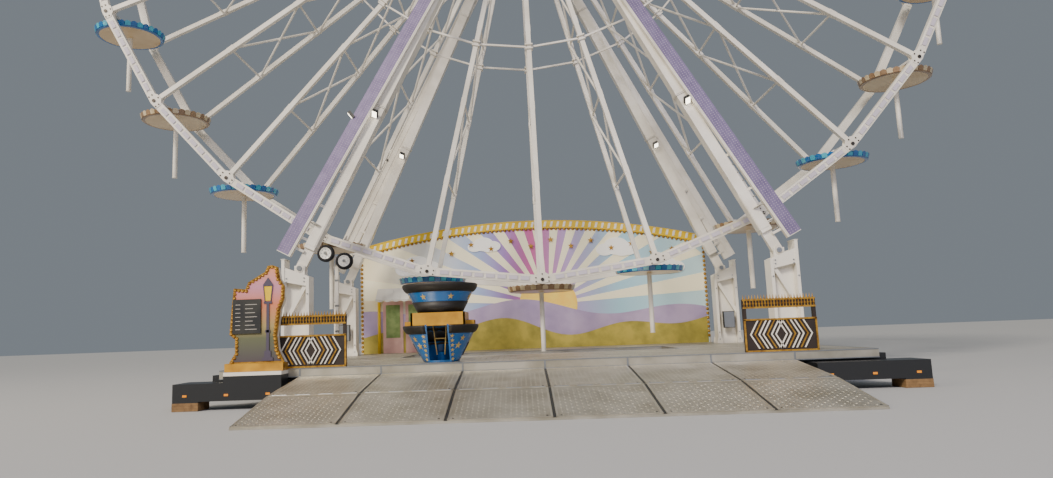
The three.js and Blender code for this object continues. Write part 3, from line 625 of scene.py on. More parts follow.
# %% [markdown]
# ### Crest of leaves
# A low crest stands round the roof's edge. Its thirty-six leaves lean outwards and take the two
# colours by turns. A leaf is a flat plate, since the real ones are cut from sheet.

# %% Crest
LEAVES = 36
LEAF = [(-0.9, 0), (0.9, 0), (0.98, 0.7), (0.6, 0.92), (0, 1), (-0.6, 0.92), (-0.98, 0.7)]
LEAF_HEIGHT = 0.17
LOW_LEAF_HEIGHT = 0.135
LEAF_FOOT = -0.27
LEAF_LEAN = 0.3
LEAF_THICKNESS = 0.012
NEAR_BEAM = 0.25


def crest(parity):
    """Leaves round the edge; they are lower where the cross-beam passes over the roof."""
    form = Form()
    half = ROOF_RADIUS * math.pi / LEAVES
    for leaf in range(parity, LEAVES, 2):
        turn = (leaf + 0.5) * 2 * math.pi / LEAVES
        out = Vector((math.cos(turn), math.sin(turn), 0))
        height = LOW_LEAF_HEIGHT if abs(out.x) < NEAR_BEAM else LEAF_HEIGHT
        form.plate([(half * a, height * b) for a, b in LEAF],
                   out * (ROOF_RADIUS + LEAF_THICKNESS) + UP * LEAF_FOOT, UP.cross(out),
                   (UP + out * LEAF_LEAN).normalized(), LEAF_THICKNESS)
    return form


print(LEAVES, "leaves to a crest")

# %% [markdown]
# ### Hanging gear and the twenty-six cabins
# Below the roof hangs a round post with an end cap; above it a sleeve turns on the cross-beam and
# two plates hang from it. One set of meshes serves all cabins of a colour: the odd ones are blue,
# the even ones tan.

# %% Hanging gear, and a roof on every pivot
POST_TOP = -0.295
POST_FOOT = -2.235
POST_RADIUS = 0.077
POST_CAP = {"radius": 0.084, "height": 0.017, "sides": 20}
SLEEVE_RADIUS = 0.127
SLEEVE_HALF = 0.254
HANGER = {"place": 0.16, "half_width": 0.11, "half_depth": 0.012, "height": 0.15}
SCHEMES = {"blue": ("blue", "turquoise"), "tan": ("tan", "beige")}


def hanging_gear():
    form = Form()
    form.tube(UP * POST_TOP, UP * POST_FOOT, POST_RADIUS, 20)
    form.bolt(UP * POST_FOOT, -UP, **POST_CAP)
    form.tube(ALONG_Y * -SLEEVE_HALF, ALONG_Y * SLEEVE_HALF, SLEEVE_RADIUS, 24)
    for side in SIDES:
        near, far = (side * HANGER["place"] + edge * HANGER["half_depth"] for edge in SIDES)
        form.block((-HANGER["half_width"], near, -HANGER["height"]), (HANGER["half_width"], far, 0.0))
    return form


roof_meshes = {}
for scheme, (main, second) in SCHEMES.items():
    parts = [("gores_a", gores(0), gel[main]), ("gores_b", gores(1), gel[second]),
             ("rolled_edge", rolled_edge(), gel[main]), ("crest_a", crest(0), gel[main]),
             ("crest_b", crest(1), gel[second]), ("lining", lining(), gel["sand"]),
             ("hanging_gear", hanging_gear(), cream_enamel)]
    roof_meshes[scheme] = [(part, mesh_of(form, f"{scheme}_{part}", paint)) for part, form, paint in parts]
for number, pivot in enumerate(PIVOTS, 1):
    scheme = "blue" if number % 2 else "tan"
    for part, mesh in roof_meshes[scheme]:
        place(f"cabin_{number:02d}_{part}", mesh, f"cabin_{number:02d}", f"roof_{scheme}", pivot)
print(len(PIVOTS), "cabins roofed")

# %% [markdown]
# ## The two tubs
# Two tubs wait on the deck, one on the other, with a yellow frame between them. A tub is a cone of
# blue glass fibre with a doorway, gold stars, a thick black roll on its rim and black upholstery.
# Both share their meshes, which are made about the foot of a tub with its doorway to the front; the
# upper tub is turned half round. Curved skins and pads are all one kind of form: two grids of
# points, closed along their border.

# %% Places on a tub, and a curved sheet with a thickness
TUB_HEIGHT = 0.93
TUB_RIM = 0.95
TUB_FLOOR = 0.45
TUB_SLOPE = (TUB_RIM - TUB_FLOOR) / TUB_HEIGHT
DOOR_HALF = 0.27
STACK = Vector((-2.62, -5.0, 0.9003))
STACK_PITCH = 1.05
TUBS = [("lower_tub", STACK, 0.0), ("upper_tub", STACK + UP * STACK_PITCH, math.pi)]


def tub_radius(height):
    return TUB_FLOOR + TUB_SLOPE * height


def door_angle(radius):
    """Half the angle that the doorway takes; it grows towards the narrow floor."""
    return math.asin(DOOR_HALF / radius)


def tub_point(angle, radius, height):
    """A point on the tub; the angle counts from the middle of the doorway."""
    return Vector((radius * math.sin(angle), -radius * math.cos(angle), height))


def sheet(outer, inner):
    """Closes two grids of points, row by row, into one curved sheet."""
    rows, columns = len(outer), len(outer[0])
    half = rows * columns

    def at(row, column):
        return row * columns + column

    faces = []
    for row in range(rows - 1):
        for column in range(columns - 1):
            face = (at(row, column), at(row, column + 1), at(row + 1, column + 1), at(row + 1, column))
            faces += [face, tuple(half + corner for corner in reversed(face))]
    border = [at(0, c) for c in range(columns)] + [at(r, columns - 1) for r in range(1, rows)]
    border += [at(rows - 1, c) for c in range(columns - 2, -1, -1)]
    border += [at(r, 0) for r in range(rows - 2, 0, -1)]
    faces += [(b, a, half + a, half + b) for a, b in zip(border, border[1:] + border[:1])]
    form = Form()
    form.add([point for row in outer + inner for point in row], faces)
    return form


def stand(part, form, material, smooth=False):
    """Places one piece in each tub."""
    mesh = mesh_of(form, f"tub_{part}", material, smooth)
    return [place(f"{name}_{part}", mesh, "base", "tub_blue", foot, turn) for name, foot, turn in TUBS]


print("a tub is", 2 * TUB_RIM, "m across its rim")

# %% [markdown]
# ### Skin, rim roll and door frame
# The skin stops at the doorway, whose sides are straight, so the angle where it starts grows
# towards the narrow floor. The roll on the rim is an upright oval that leans with the skin. A black
# band runs round the back, below the stars.

# %% Skin, band, rim roll and door frame
SKIN_PROUD = 0.010
SKIN_THICKNESS = 0.008
BAND_HEIGHTS = (0.16, 0.48)
BAND_PROUD = (0.022, 0.009)
BAND_ANGLES = (math.radians(80), math.radians(280))
ROLL_PLACE = TUB_HEIGHT - 0.1
ROLL_HALF_HEIGHT = 0.11
ROLL_HALF_WIDTH = 0.065
ROLL_GAP = 0.04
FRAME_WIDTH = 0.04
FRAME_PROUD = 0.012

outer, inner = [], []
for height in spread(0, TUB_HEIGHT, 8):
    radius = tub_radius(height) + SKIN_PROUD
    angles = spread(door_angle(radius), 2 * math.pi - door_angle(radius), 61)
    outer.append([tub_point(angle, radius, height) for angle in angles])
    inner.append([tub_point(angle, radius - SKIN_THICKNESS, height) for angle in angles])
stand("skin", sheet(outer, inner), gel["blue"], smooth=True)

outer, inner = ([[tub_point(angle, tub_radius(height) + proud, height) for angle in spread(*BAND_ANGLES, 41)]
                 for height in BAND_HEIGHTS] for proud in BAND_PROUD)
stand("black_band", sheet(outer, inner), black_vinyl, smooth=True)

roll = Form()
start = door_angle(TUB_RIM) + ROLL_GAP
ovals = []
for angle in spread(start, 2 * math.pi - start, 61):
    out = tub_point(angle, 1, 0)
    leaning = (UP + out * TUB_SLOPE) * ROLL_HALF_HEIGHT
    ovals.append([tub_point(angle, tub_radius(ROLL_PLACE), ROLL_PLACE)
                  + out * ROLL_HALF_WIDTH * math.cos(t) + leaning * math.sin(t) for t in turns(16)])
roll.loft(ovals, inside_out=True)
stand("rim_roll", roll, black_vinyl, smooth=True)

door = Form()
for side in SIDES:
    low = tub_point(side * door_angle(TUB_FLOOR), TUB_FLOOR + FRAME_PROUD, 0.02)
    high = tub_point(side * door_angle(TUB_RIM), TUB_RIM + FRAME_PROUD, TUB_HEIGHT + 0.01)
    door.bar(low, high, FRAME_WIDTH, FRAME_WIDTH, ALONG_X)
stand("door_frame", door, gel["blue"])
print("tub skin", round(2 * (TUB_RIM + SKIN_PROUD), 2), "m across")

# %% [markdown]
# ### Stars
# Gold stars run up both sides of the doorway and round the tub. Each is a flat plate that lies on
# the cone, so its plane leans as the skin does. The backdrop's stars use the same outline.

# %% Stars on the tubs
STAR_THICKNESS = 0.008
DOORWAY_STARS = {"heights": (0.08, 0.66, 6), "gap": 0.11, "size": 0.058}
BESIDE_STAR = {"angle": math.radians(44), "height": 0.42, "size": 0.1}
ROUND_STARS = {"first": 50, "step": 52, "count": 6, "height": 0.6, "size": 0.085}


def star_outline(x, y, size, notch):
    """A five-pointed star about a middle: its tips lie at one radius and its notches at another."""
    outline = []
    for tip in range(10):
        reach, turn = notch if tip % 2 else size, math.pi / 2 + tip * math.pi / 5
        outline.append((x + reach * math.cos(turn), y + reach * math.sin(turn)))
    return outline


def star(form, angle, height, size):
    foot = tub_point(angle, tub_radius(height) + SKIN_PROUD + 0.001, height)
    across = Vector((math.cos(angle), math.sin(angle), 0))
    up = (UP + tub_point(angle, TUB_SLOPE, 0)).normalized()
    form.plate(star_outline(0, 0, size, size * 0.42), foot, across, up, STAR_THICKNESS)


stars = Form()
for side in SIDES:
    for height in spread(*DOORWAY_STARS["heights"]):
        angle = door_angle(tub_radius(height)) + DOORWAY_STARS["gap"]
        star(stars, side * angle, height, DOORWAY_STARS["size"])
    star(stars, side * BESIDE_STAR["angle"], BESIDE_STAR["height"], BESIDE_STAR["size"])
for step in range(ROUND_STARS["count"]):
    angle = math.radians(ROUND_STARS["first"] + ROUND_STARS["step"] * step)
    star(stars, angle, ROUND_STARS["height"], ROUND_STARS["size"])
stand("stars", stars, pale_gold)
print(2 * (DOORWAY_STARS["heights"][2] + 1) + ROUND_STARS["count"], "stars on each tub")

# %% [markdown]
# ### Upholstery
# Backs and seats are separate stuffed pads of black vinyl with gaps between them, where the covers
# are pulled down. A pad's surface rises by the product of two sines, highest in its middle.

# %% Back and seat pads
PADS = 7
PAD_GAP = 0.02
PAD_FIRST = door_angle(0.62) + 0.06
PAD_ANGLE = (2 * math.pi - 2 * PAD_FIRST) / PADS
BENCH_TOP = 0.44
BENCH_INNER = 0.415
BENCH_OUTER = 0.600
BACK_FOOT = BENCH_TOP + 0.075
BACK_TOP = TUB_HEIGHT - 0.14
WALL_INSIDE_TOP = 0.905
WALL_INSIDE_LEAN = 0.295
BACK_RISE = (0.014, 0.045)
SEAT_RISE = (0.02, 0.04)


def wall_inside(height):
    return WALL_INSIDE_TOP - WALL_INSIDE_LEAN * (TUB_HEIGHT - height) / (TUB_HEIGHT - BENCH_TOP)


def swelling(share, low, rise):
    """How far a pad stands out along a row, from its welt to its middle."""
    middle = math.sin(math.pi * share) ** 0.5
    return [low + rise * middle * math.sin(math.pi * step / 10) ** 0.5 for step in range(11)]


for pad in range(PADS):
    angles = spread(PAD_FIRST + pad * PAD_ANGLE + PAD_GAP, PAD_FIRST + (pad + 1) * PAD_ANGLE - PAD_GAP, 11)
    front, back, high, low = [], [], [], []
    for share in spread(0, 1, 9):
        height = BACK_FOOT + share * (BACK_TOP - BACK_FOOT)
        inside = wall_inside(height)
        back.append([tub_point(angle, inside - 0.004, height) for angle in angles])
        front.append([tub_point(angle, inside - rise, height)
                      for angle, rise in zip(angles, swelling(share, *BACK_RISE))])
    for share in spread(0, 1, 7):
        radius = BENCH_INNER + share * (BENCH_OUTER - BENCH_INNER)
        low.append([tub_point(angle, radius, BENCH_TOP + 0.002) for angle in angles])
        high.append([tub_point(angle, radius, BENCH_TOP + rise)
                     for angle, rise in zip(angles, swelling(share, *SEAT_RISE))])
    for part, form in (("back", sheet(back, front)), ("seat", sheet(high, low))):
        for piece in stand(f"{part}_pad_{pad + 1}", form, black_vinyl, smooth=True):
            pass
print(2 * len(TUBS) * PADS, "pads")

# %% [markdown]
# ### The yellow frame
# The frame is welded from flat bars and stands on the rim of the lower tub. Two rods reach down from
# it to the socket of the post, and keep it from sliding.

# %% Frame between the tubs
FRAME_SIDE = 0.66
FRAME_MIDDLE = 0.161
FRAME_BAR = {"half_width": 0.024, "half_length": 0.684, "half_height": 0.163}
BEARER_PLACE = (0.3, 0.06)
BEARER_HALF = (0.884, 0.054, 0.056)
ROD_TOP = (0.17, -0.3, 0)
ROD_FOOT = (0.1, -0.12, -0.74)
ROD_RADIUS = 0.016
TIE_END = (0.14, -0.22, -0.33)
TIE_RADIUS = 0.014


def mirrored(side, point):
    """A point given for the right-hand side, on either side."""
    return Vector((side * point[0], point[1], point[2]))


stack_frame, stack_rods = forms(2)
seat = STACK + UP * TUB_HEIGHT
for side in SIDES:
    for across, along in ((ALONG_X, ALONG_Y), (ALONG_Y, ALONG_X)):
        stack_frame.box(seat + across * side * FRAME_SIDE + UP * FRAME_MIDDLE,
                        across * FRAME_BAR["half_width"], along * FRAME_BAR["half_length"],
                        UP * FRAME_BAR["half_height"])
    y, z = BEARER_PLACE
    stack_frame.box(seat + Vector((0, side * y, z)), ALONG_X * BEARER_HALF[0], ALONG_Y * BEARER_HALF[1],
                    UP * BEARER_HALF[2])
    stack_rods.tube(seat + mirrored(side, ROD_TOP), seat + mirrored(side, ROD_FOOT), ROD_RADIUS)
stack_rods.tube(seat + mirrored(-1, TIE_END), seat + mirrored(1, TIE_END), TIE_RADIUS)
make("stack_frame", stack_frame, ochre_enamel, "base", "tub_blue")
make("stack_rods", stack_rods, pale_gold, "base", "tub_blue")
print(len(TUBS), "tubs stacked")

# %% [markdown]
# ## Legs
# A leg is a square tube in three lengths bolted at flanges, with sleeves round its low end. A lamp
# panel runs before it: rows of small diodes on a lilac sheet, with two cream rails along its inner
# edge. Places on a leg are found from its foot and top, by the share of its length, the distance
# square to it and the distance before it.

# %% Places along a leg
LEG_FOOT = Vector((6.94, 2.91, 3.655))
LEG_TOP_PLACE = 1.55
LEG_WIDTH = 0.32
LEG_JOINTS = (0.34, 0.68)
LEGS = [(left, front) for left in SIDES for front in SIDES]
PANEL_START = (0.012, 0.575)
PANEL_END = (0.80, -0.02)
PANEL_WIDTH = 0.45
PANEL_DEPTH = 0.11
PANEL_PROUD = 0.245


def leg_ends(left, front):
    foot = Vector((left * LEG_FOOT.x, front * LEG_FOOT.y, LEG_FOOT.z))
    return foot, Vector((0, front * LEG_TOP_PLACE, HUB.z))


def leg_axes(left, front):
    """Along the leg, outwards from the wheel's middle, and towards the leg's own face."""
    foot, top = leg_ends(left, front)
    along = (top - foot).normalized()
    out = Vector((left, 0, 0))
    out = (out - out.project(along)).normalized()
    face = along.cross(out)
    return along, out, face if face.y * front > 0 else -face


def beside_leg(left, front, share, offset=0.0, proud=0.0):
    foot, top = leg_ends(left, front)
    _, out, face = leg_axes(left, front)
    return foot.lerp(top, share) + out * offset + face * proud


def panel_offset(share):
    """How far outwards the panel's middle stands from the leg's."""
    part = (share - PANEL_START[0]) / (PANEL_END[0] - PANEL_START[0])
    return PANEL_START[1] + part * (PANEL_END[1] - PANEL_START[1])


foot, top = leg_ends(1, 1)
LEG_LENGTH = (top - foot).length
print("a leg is", round(LEG_LENGTH, 2), "m long")

# %% [markdown]
# ### Flanges, sleeves and bolts of the legs
# Two flanges and a ring of bolts stand at each joint. At the foot, plates double the four walls of
# the tube, a round boss and a pin's head show the hinge, and brackets hold the lamp panel.

# %% Leg flanges, sleeves, lugs and bolts
FLANGE = {"half": 0.182, "half_thickness": 0.014, "place": 0.02}
JOINT_BOLT = {"radius": 0.01, "half_length": 0.045, "place": 0.171, "steps": (-0.12, 0, 0.12)}
DOUBLING = {"span": (0.045, 0.12), "half_thickness": 0.006, "half_width": 0.13}
FOOT_PIN = {"radius": 0.075, "height": 0.045, "sides": 12}
FOOT_PIN_PLACE = 0.148
FOOT_BOSS = {"radius": 0.125, "height": 0.015, "sides": 24}
FOOT_BOSS_PLACE = 0.145
WING_SHARE = 0.085
WING_PLATE = {"width": 0.02, "depth": 0.55}
BRACKET_SHARES = (0.03, 0.12)
BRACKET_WIDTH = 0.07
flanges, leg_bolts = forms(2)
for left, front in LEGS:
    along, out, face = leg_axes(left, front)
    foot, _ = leg_ends(left, front)
    for share in LEG_JOINTS:
        middle = beside_leg(left, front, share)
        for end in SIDES:
            flanges.box(middle + along * end * FLANGE["place"], out * FLANGE["half"], face * FLANGE["half"],
                        along * FLANGE["half_thickness"])
        for step in JOINT_BOLT["steps"]:
            for side in SIDES:
                for run, across in ((out, face), (face, out)):
                    spot = middle + run * step + across * side * JOINT_BOLT["place"]
                    half = along * JOINT_BOLT["half_length"]
                    leg_bolts.tube(spot - half, spot + half, JOINT_BOLT["radius"], 6)
    low, high = (beside_leg(left, front, share) for share in DOUBLING["span"])
    for way, other in ((out, face), (face, out)):
        for side in SIDES:
            shift = way * side * (LEG_WIDTH / 2 + DOUBLING["half_thickness"])
            flanges.box((low + high) / 2 + shift, (high - low) / 2, way * DOUBLING["half_thickness"],
                        other * DOUBLING["half_width"])
    for side in SIDES:
        leg_bolts.bolt(foot + ALONG_Y * side * FOOT_PIN_PLACE, ALONG_Y * side, **FOOT_PIN)
        flanges.bolt(foot + ALONG_Y * side * FOOT_BOSS_PLACE, ALONG_Y * side, **FOOT_BOSS)
    flanges.bar(beside_leg(left, front, WING_SHARE, LEG_WIDTH / 2, 0.02),
                beside_leg(left, front, WING_SHARE, 0.34, 0.19), **WING_PLATE, across=along)
    for share in BRACKET_SHARES:
        flanges.bar(beside_leg(left, front, share, 0.1, 0.12),
                    beside_leg(left, front, share, panel_offset(share) - 0.1, PANEL_PROUD - 0.04),
                    BRACKET_WIDTH, BRACKET_WIDTH, along)
make("leg_flanges", flanges, cream_enamel, "base", "cream_paint")
make("leg_bolts", leg_bolts, zinc_bolts, "base", "cream_paint")
print(len(LEGS), "legs fitted")

# %% [markdown]
# ### Lamp panels
# A panel is a thin anodised sheet with diodes under small grey covers, and steel rails at its back.
# The sheet reaches to the panel's outer edge and two cream rails to its inner one. The diodes are
# small blocks in four rows, since a raised dot still shows in a view from the side.

# %% Lamp panels
panel_sheet = mottled(finish("lilac_anodised_sheet", "#7B6F92", 0.5, 0.3), "#6C6083", 250)
diode_cover = finish("grey_diode_cover", "#A99BB3", 0.35, glow=0.05)
SKIN_GAP = 0.004
PANEL_SHEET = {"place": 0.04, "half_width": 0.188, "half_thickness": 0.005, "end_gap": 0.01}
FRONT_RAILS = {"places": (-0.168, -0.21), "half_width": 0.013}
REAR_RAILS = {"places": (-0.19, 0, 0.19), "half_width": 0.02}
RAIL_HALF_DEPTH = 0.012
END_CAP = {"half_length": 0.01, "half_width": 0.228, "half_depth": 0.06}
DIODE = {"pitch": 0.072, "row_pitch": 0.085, "first_row": -0.09, "rows": 4, "proud": 0.011}
DIODE_HALF = (0.012, 0.01, 0.004)
nets, rails, diodes = forms(3)
for left, front in LEGS:
    _, out, face = leg_axes(left, front)
    low = beside_leg(left, front, *PANEL_START, PANEL_PROUD)
    high = beside_leg(left, front, *PANEL_END, PANEL_PROUD)
    middle = (low + high) / 2
    length = (high - low).length
    run = (high - low).normalized()
    across = (out - out.project(run)).normalized()
    normal = run.cross(across)
    normal = normal if normal.dot(face) > 0 else -normal
    skin_place = normal * (PANEL_DEPTH / 2 + SKIN_GAP)
    nets.box(middle + skin_place + across * PANEL_SHEET["place"], run * (length / 2 - PANEL_SHEET["end_gap"]),
             across * PANEL_SHEET["half_width"], normal * PANEL_SHEET["half_thickness"])
    for rail, plane in ((FRONT_RAILS, middle + skin_place), (REAR_RAILS, middle - skin_place)):
        for place_across in rail["places"]:
            rails.box(plane + across * place_across, run * length / 2, across * rail["half_width"],
                      normal * RAIL_HALF_DEPTH)
    for column in range(1, int(length / DIODE["pitch"])):
        for row in range(DIODE["rows"]):
            spot = low + run * column * DIODE["pitch"] + normal * (PANEL_DEPTH / 2 + DIODE["proud"])
            spot += across * (row * DIODE["row_pitch"] + DIODE["first_row"])
            diodes.box(spot, run * DIODE_HALF[0], across * DIODE_HALF[1], normal * DIODE_HALF[2])
    for end in (low, high):
        rails.box(end, run * END_CAP["half_length"], across * END_CAP["half_width"],
                  normal * END_CAP["half_depth"])
make("lamp_panel_sheets", nets, panel_sheet, "base", "lilac_paint")
make("lamp_panel_rails", rails, cream_enamel, "base", "cream_paint")
make("lamp_panel_diodes", diodes, diode_cover, "base", "lilac_paint")
print(len(diodes.points), "points in the diodes")

# %% [markdown]
# ### Ladders
# Riggers climb the two right-hand legs by rungs between the tube and the lamp panel, so a rung's
# length follows the gap between the two.

# %% Ladder rungs
RUNG_PITCH = 0.28
RUNG_RADIUS = 0.014
FIRST_RUNG = 2
LADDER_TOP = 0.26
rungs = Form()
for front in SIDES:
    for rung in range(FIRST_RUNG, int(LADDER_TOP * LEG_LENGTH / RUNG_PITCH)):
        share = rung * RUNG_PITCH / LEG_LENGTH
        rungs.tube(beside_leg(1, front, share, LEG_WIDTH / 2, 0.1),
                   beside_leg(1, front, share, panel_offset(share) - PANEL_WIDTH / 2, 0.21), RUNG_RADIUS, 8)
make("leg_ladders", rungs, zinc_bolts, "base", "cream_paint")
print("rungs up to", round(LADDER_TOP * LEG_LENGTH, 1), "m along two legs")

# %% [markdown]
# ### Flood lamps
# A flood lamp on a bracket stands before each leg, at its first joint, and lights the heavy lower
# length. The left legs carry one more on the panel's outer edge. A lamp is a box with a pane at one
# end, both built along the way that it aims.

# %% Flood lamps
LAMP_SHARE = LEG_JOINTS[0] - 0.02
EDGE_LAMP_SHARE = 0.3
EDGE_LAMP_GAP = 0.06
LAMP_BODY = (0.13, 0.09, 0.05)
LAMP_BRACKET = (0.02, 0.02, 0.12)
LAMP_GLASS = (0.115, 0.075, 0.006)
lamps, lamp_glass = forms(2)
for left, front in LEGS:
    along, out, face = leg_axes(left, front)
    forwards = face * -front
    spots = [(beside_leg(left, front, LAMP_SHARE) + forwards * (LEG_WIDTH / 2 + 0.12), forwards, out)]
    if left < 0:
        edge = panel_offset(EDGE_LAMP_SHARE) + PANEL_WIDTH / 2 + EDGE_LAMP_GAP
        spots.append((beside_leg(left, front, EDGE_LAMP_SHARE, edge, PANEL_PROUD), out, face))
    for spot, away, other in spots:
        aim = (away * 0.5 - along).normalized()
        side_way = aim.cross(other).normalized()
        depth_way = aim.cross(side_way)
        for form, place_of_box, half, way in ((lamps, spot, LAMP_BODY, aim),
                                              (lamps, spot - away * 0.1, LAMP_BRACKET, away),
                                              (lamp_glass, spot + aim * 0.054, LAMP_GLASS, aim)):
            form.box(place_of_box, side_way * half[0], depth_way * half[1], way * half[2])
make("flood_lamps", lamps, black_enamel, "base", "chassis_paint")
make("flood_lamp_glass", lamp_glass, flood_glass, "base", "cream_paint")
print("flood lamps aimed")

# %% [markdown]
# ## Bearing heads
# The legs meet in two welded heads that hold the axle. Each head shows a round cap over the
# axle's end, a ring of bolts, and ribs on the two sides where the legs butt.

# %% Bearing caps
HEAD_FACE = 1.83
CAP = [(0, 0), (0.36, 0), (0.36, 0.025), (0.3, 0.03), (0.27, 0.06), (0, 0.07)]
CAP_BOLT = {"radius": 0.018, "height": 0.03}
CAP_BOLTS = 12
CAP_BOLT_CIRCLE = 0.32
HEAD_RIB = {"place": (0.44, 0.01, -0.1), "half": (0.03, 0.02, 0.55)}
caps, cap_bolts = forms(2)
for side in SIDES:
    centre = Vector((HUB.x, side * HEAD_FACE, HUB.z))
    axis = ALONG_Y * side
    caps.turned(CAP, centre, 48, axis=axis)
    for turn in turns(CAP_BOLTS):
        cap_bolts.bolt(centre + along_rim(turn) * CAP_BOLT_CIRCLE + axis * 0.02, axis, **CAP_BOLT)
    for edge in SIDES:
        x, y, z = HEAD_RIB["place"]
        half = HEAD_RIB["half"]
        caps.box(centre + Vector((edge * x, side * y, z)), ALONG_X * half[0], axis * half[1], UP * half[2])
make("bearing_caps", caps, cream_enamel, "base", "bearing_steel")
make("bearing_cap_bolts", cap_bolts, zinc_bolts, "base", "bearing_steel")
print("bearing heads capped")

# %% [markdown]
# ## Towers under the legs
# Each leg is pinned to a welded tower, so that it can be laid down for the road. Thin posts carry a
# deep top beam; shoes spread the posts' feet, and a dark control cabinet hangs on the wheel's side.

# %% Tower shoes, bolts and cabinets
POSTS = (6.68, 7.40)
TOWER_SHOE = [(-0.1, 0.906), (0.1, 0.906), (0.1, 1.0), (0.05, 1.16), (-0.05, 1.16), (-0.1, 1.0)]
SHOE_PLACE = 0.246
SHOE_THICKNESS = 0.012
BEAM_BOLTS = [(x, z, 0.22) for x in (6.78, 7.30) for z in (3.26, 3.36)]
POST_BOLTS = [(x, z, 0.24) for x in POSTS for z in (1.05, 1.3, 2.9)]
TOWER_BOLT = {"radius": 0.022, "height": 0.024}
HORN_CAP = {"half_width": 0.06, "half_depth": 0.25, "heights": (3.915, 3.935)}
CABINET_PLACE = 7.04
CABINET = {"half": 0.2, "depths": (0.2, 0.33), "heights": (1.45, 2.05)}
CABINET_DOOR = {"half": 0.18, "depths": (0.33, 0.34), "heights": (1.47, 2.03)}


def facing(form, outline, y, thickness):
    """A plate that faces the visitors: its outline is in x and z, and it is thick forwards from y."""
    form.plate(outline, ALONG_Y * y, ALONG_X, UP, thickness)


towers, tower_bolts, boxes, box_doors = forms(4)
for left, front in LEGS:
    middle = front * LEG_FOOT.y
    for face in SIDES:
        for post in POSTS:
            facing(towers, [(left * (post + x), z) for x, z in TOWER_SHOE],
                   middle + face * SHOE_PLACE + SHOE_THICKNESS / 2, SHOE_THICKNESS)
        for x, z, depth in BEAM_BOLTS + POST_BOLTS:
            tower_bolts.bolt(Vector((left * x, middle + face * depth, z)), ALONG_Y * face, **TOWER_BOLT)
    horn = left * POSTS[1]
    low, high = HORN_CAP["heights"]
    towers.block((horn - HORN_CAP["half_width"], middle - HORN_CAP["half_depth"], low),
                 (horn + HORN_CAP["half_width"], middle + HORN_CAP["half_depth"], high))
    for form, sizes in ((boxes, CABINET), (box_doors, CABINET_DOOR)):
        x, half = left * CABINET_PLACE, sizes["half"]
        low, high = sizes["heights"]
        near, far = sorted(middle - front * depth for depth in sizes["depths"])
        form.block((x - half, near, low), (x + half, far, high))
make("tower_shoes", towers, cream_enamel, "base", "cream_paint")
make("tower_bolts", tower_bolts, zinc_bolts, "base", "cream_paint")
make("tower_cabinets", boxes, black_enamel, "base", "chassis_paint")
make("tower_cabinet_doors", box_doors, zinc_bolts, "base", "chassis_paint")
print("towers dressed")

# %% [markdown]
# ## Base and its packing
# The base beams stand on ground pads of crossed timber. Screw jacks beside them take up the slope
# of the ground, and amber markers show the ends of the outriggers.

# %% Timber packing
BEAM_PLACE = 2.91
PAD_PLACES = [(x, side * BEAM_PLACE) for x in (-7.3, -3.65, 0, 3.65, 7.3) for side in SIDES]
PAD_PLACES += [(-7.3, 4.83), (0, 4.83), (7.3, 4.83), (0, -5.68), (0, 0), (-8.59, -6.22), (8.59, -6.22)]
BOARD = {"width": 0.156, "height": 0.062, "gap": 0.003, "half": 0.316, "count": 4}
LAYERS = 3
PACKING_FOOT = 0.004
packing = Form()
for x, y in PAD_PLACES:
    for layer in range(LAYERS):
        low = layer * (BOARD["height"] + BOARD["gap"]) + PACKING_FOOT
        for start in spread(-BOARD["half"], BOARD["half"] - BOARD["width"], BOARD["count"]):
            run, cross = (start, start + BOARD["width"]), (-BOARD["half"], BOARD["half"])
            if layer % 2:
                run, cross = cross, run
            packing.block((x + run[0], y + cross[0], low), (x + run[1], y + cross[1], low + BOARD["height"]))
make("timber_packing", packing, pine_timber, "base", "chassis_paint")
print(len(PAD_PLACES), "pads packed")

# %% [markdown]
# ### Jacks and markers
# A screw jack is a foot plate, a round screw and a nut, so three tubes make it. The markers are
# small amber lenses that catch the eye at night.

# %% Screw jacks and amber markers
JACK_SHIFT = 0.42
JACK_TUBES = [(0.0, 0.02, 0.13, 20), (0.02, 0.3, 0.035, 16), (0.15, 0.2, 0.06, 6)]
MARKER_PLACES = [(side * x, -6.53, 0.36) for side in SIDES for x in (6.6, 7.6, 8.6)]
MARKER_HALF_WIDTH = 0.05
MARKER_HALF_HEIGHT = 0.025
MARKER_DEPTH = 0.012
jacks, markers = forms(2)
for x in (-7.3, -3.65, 3.65, 7.3):
    for side in SIDES:
        foot = Vector((x + JACK_SHIFT, side * BEAM_PLACE, 0))
        for low, high, radius, sides in JACK_TUBES:
            jacks.tube(foot + UP * low, foot + UP * high, radius, sides)
for x, y, z in MARKER_PLACES:
    markers.block((x - MARKER_HALF_WIDTH, y - MARKER_DEPTH, z - MARKER_HALF_HEIGHT),
                  (x + MARKER_HALF_WIDTH, y, z + MARKER_HALF_HEIGHT))
make("screw_jacks", jacks, zinc_bolts, "base", "chassis_paint")
make("amber_markers", markers, amber_lens, "base", "chassis_paint")
print(len(MARKER_PLACES), "markers")

# %% [markdown]
# ## Deck
# The floor is laid in aluminium tread plates of about two metres. They leave the towers and the
# channel that the cabins swing through open, so each row of plates has its own spans.

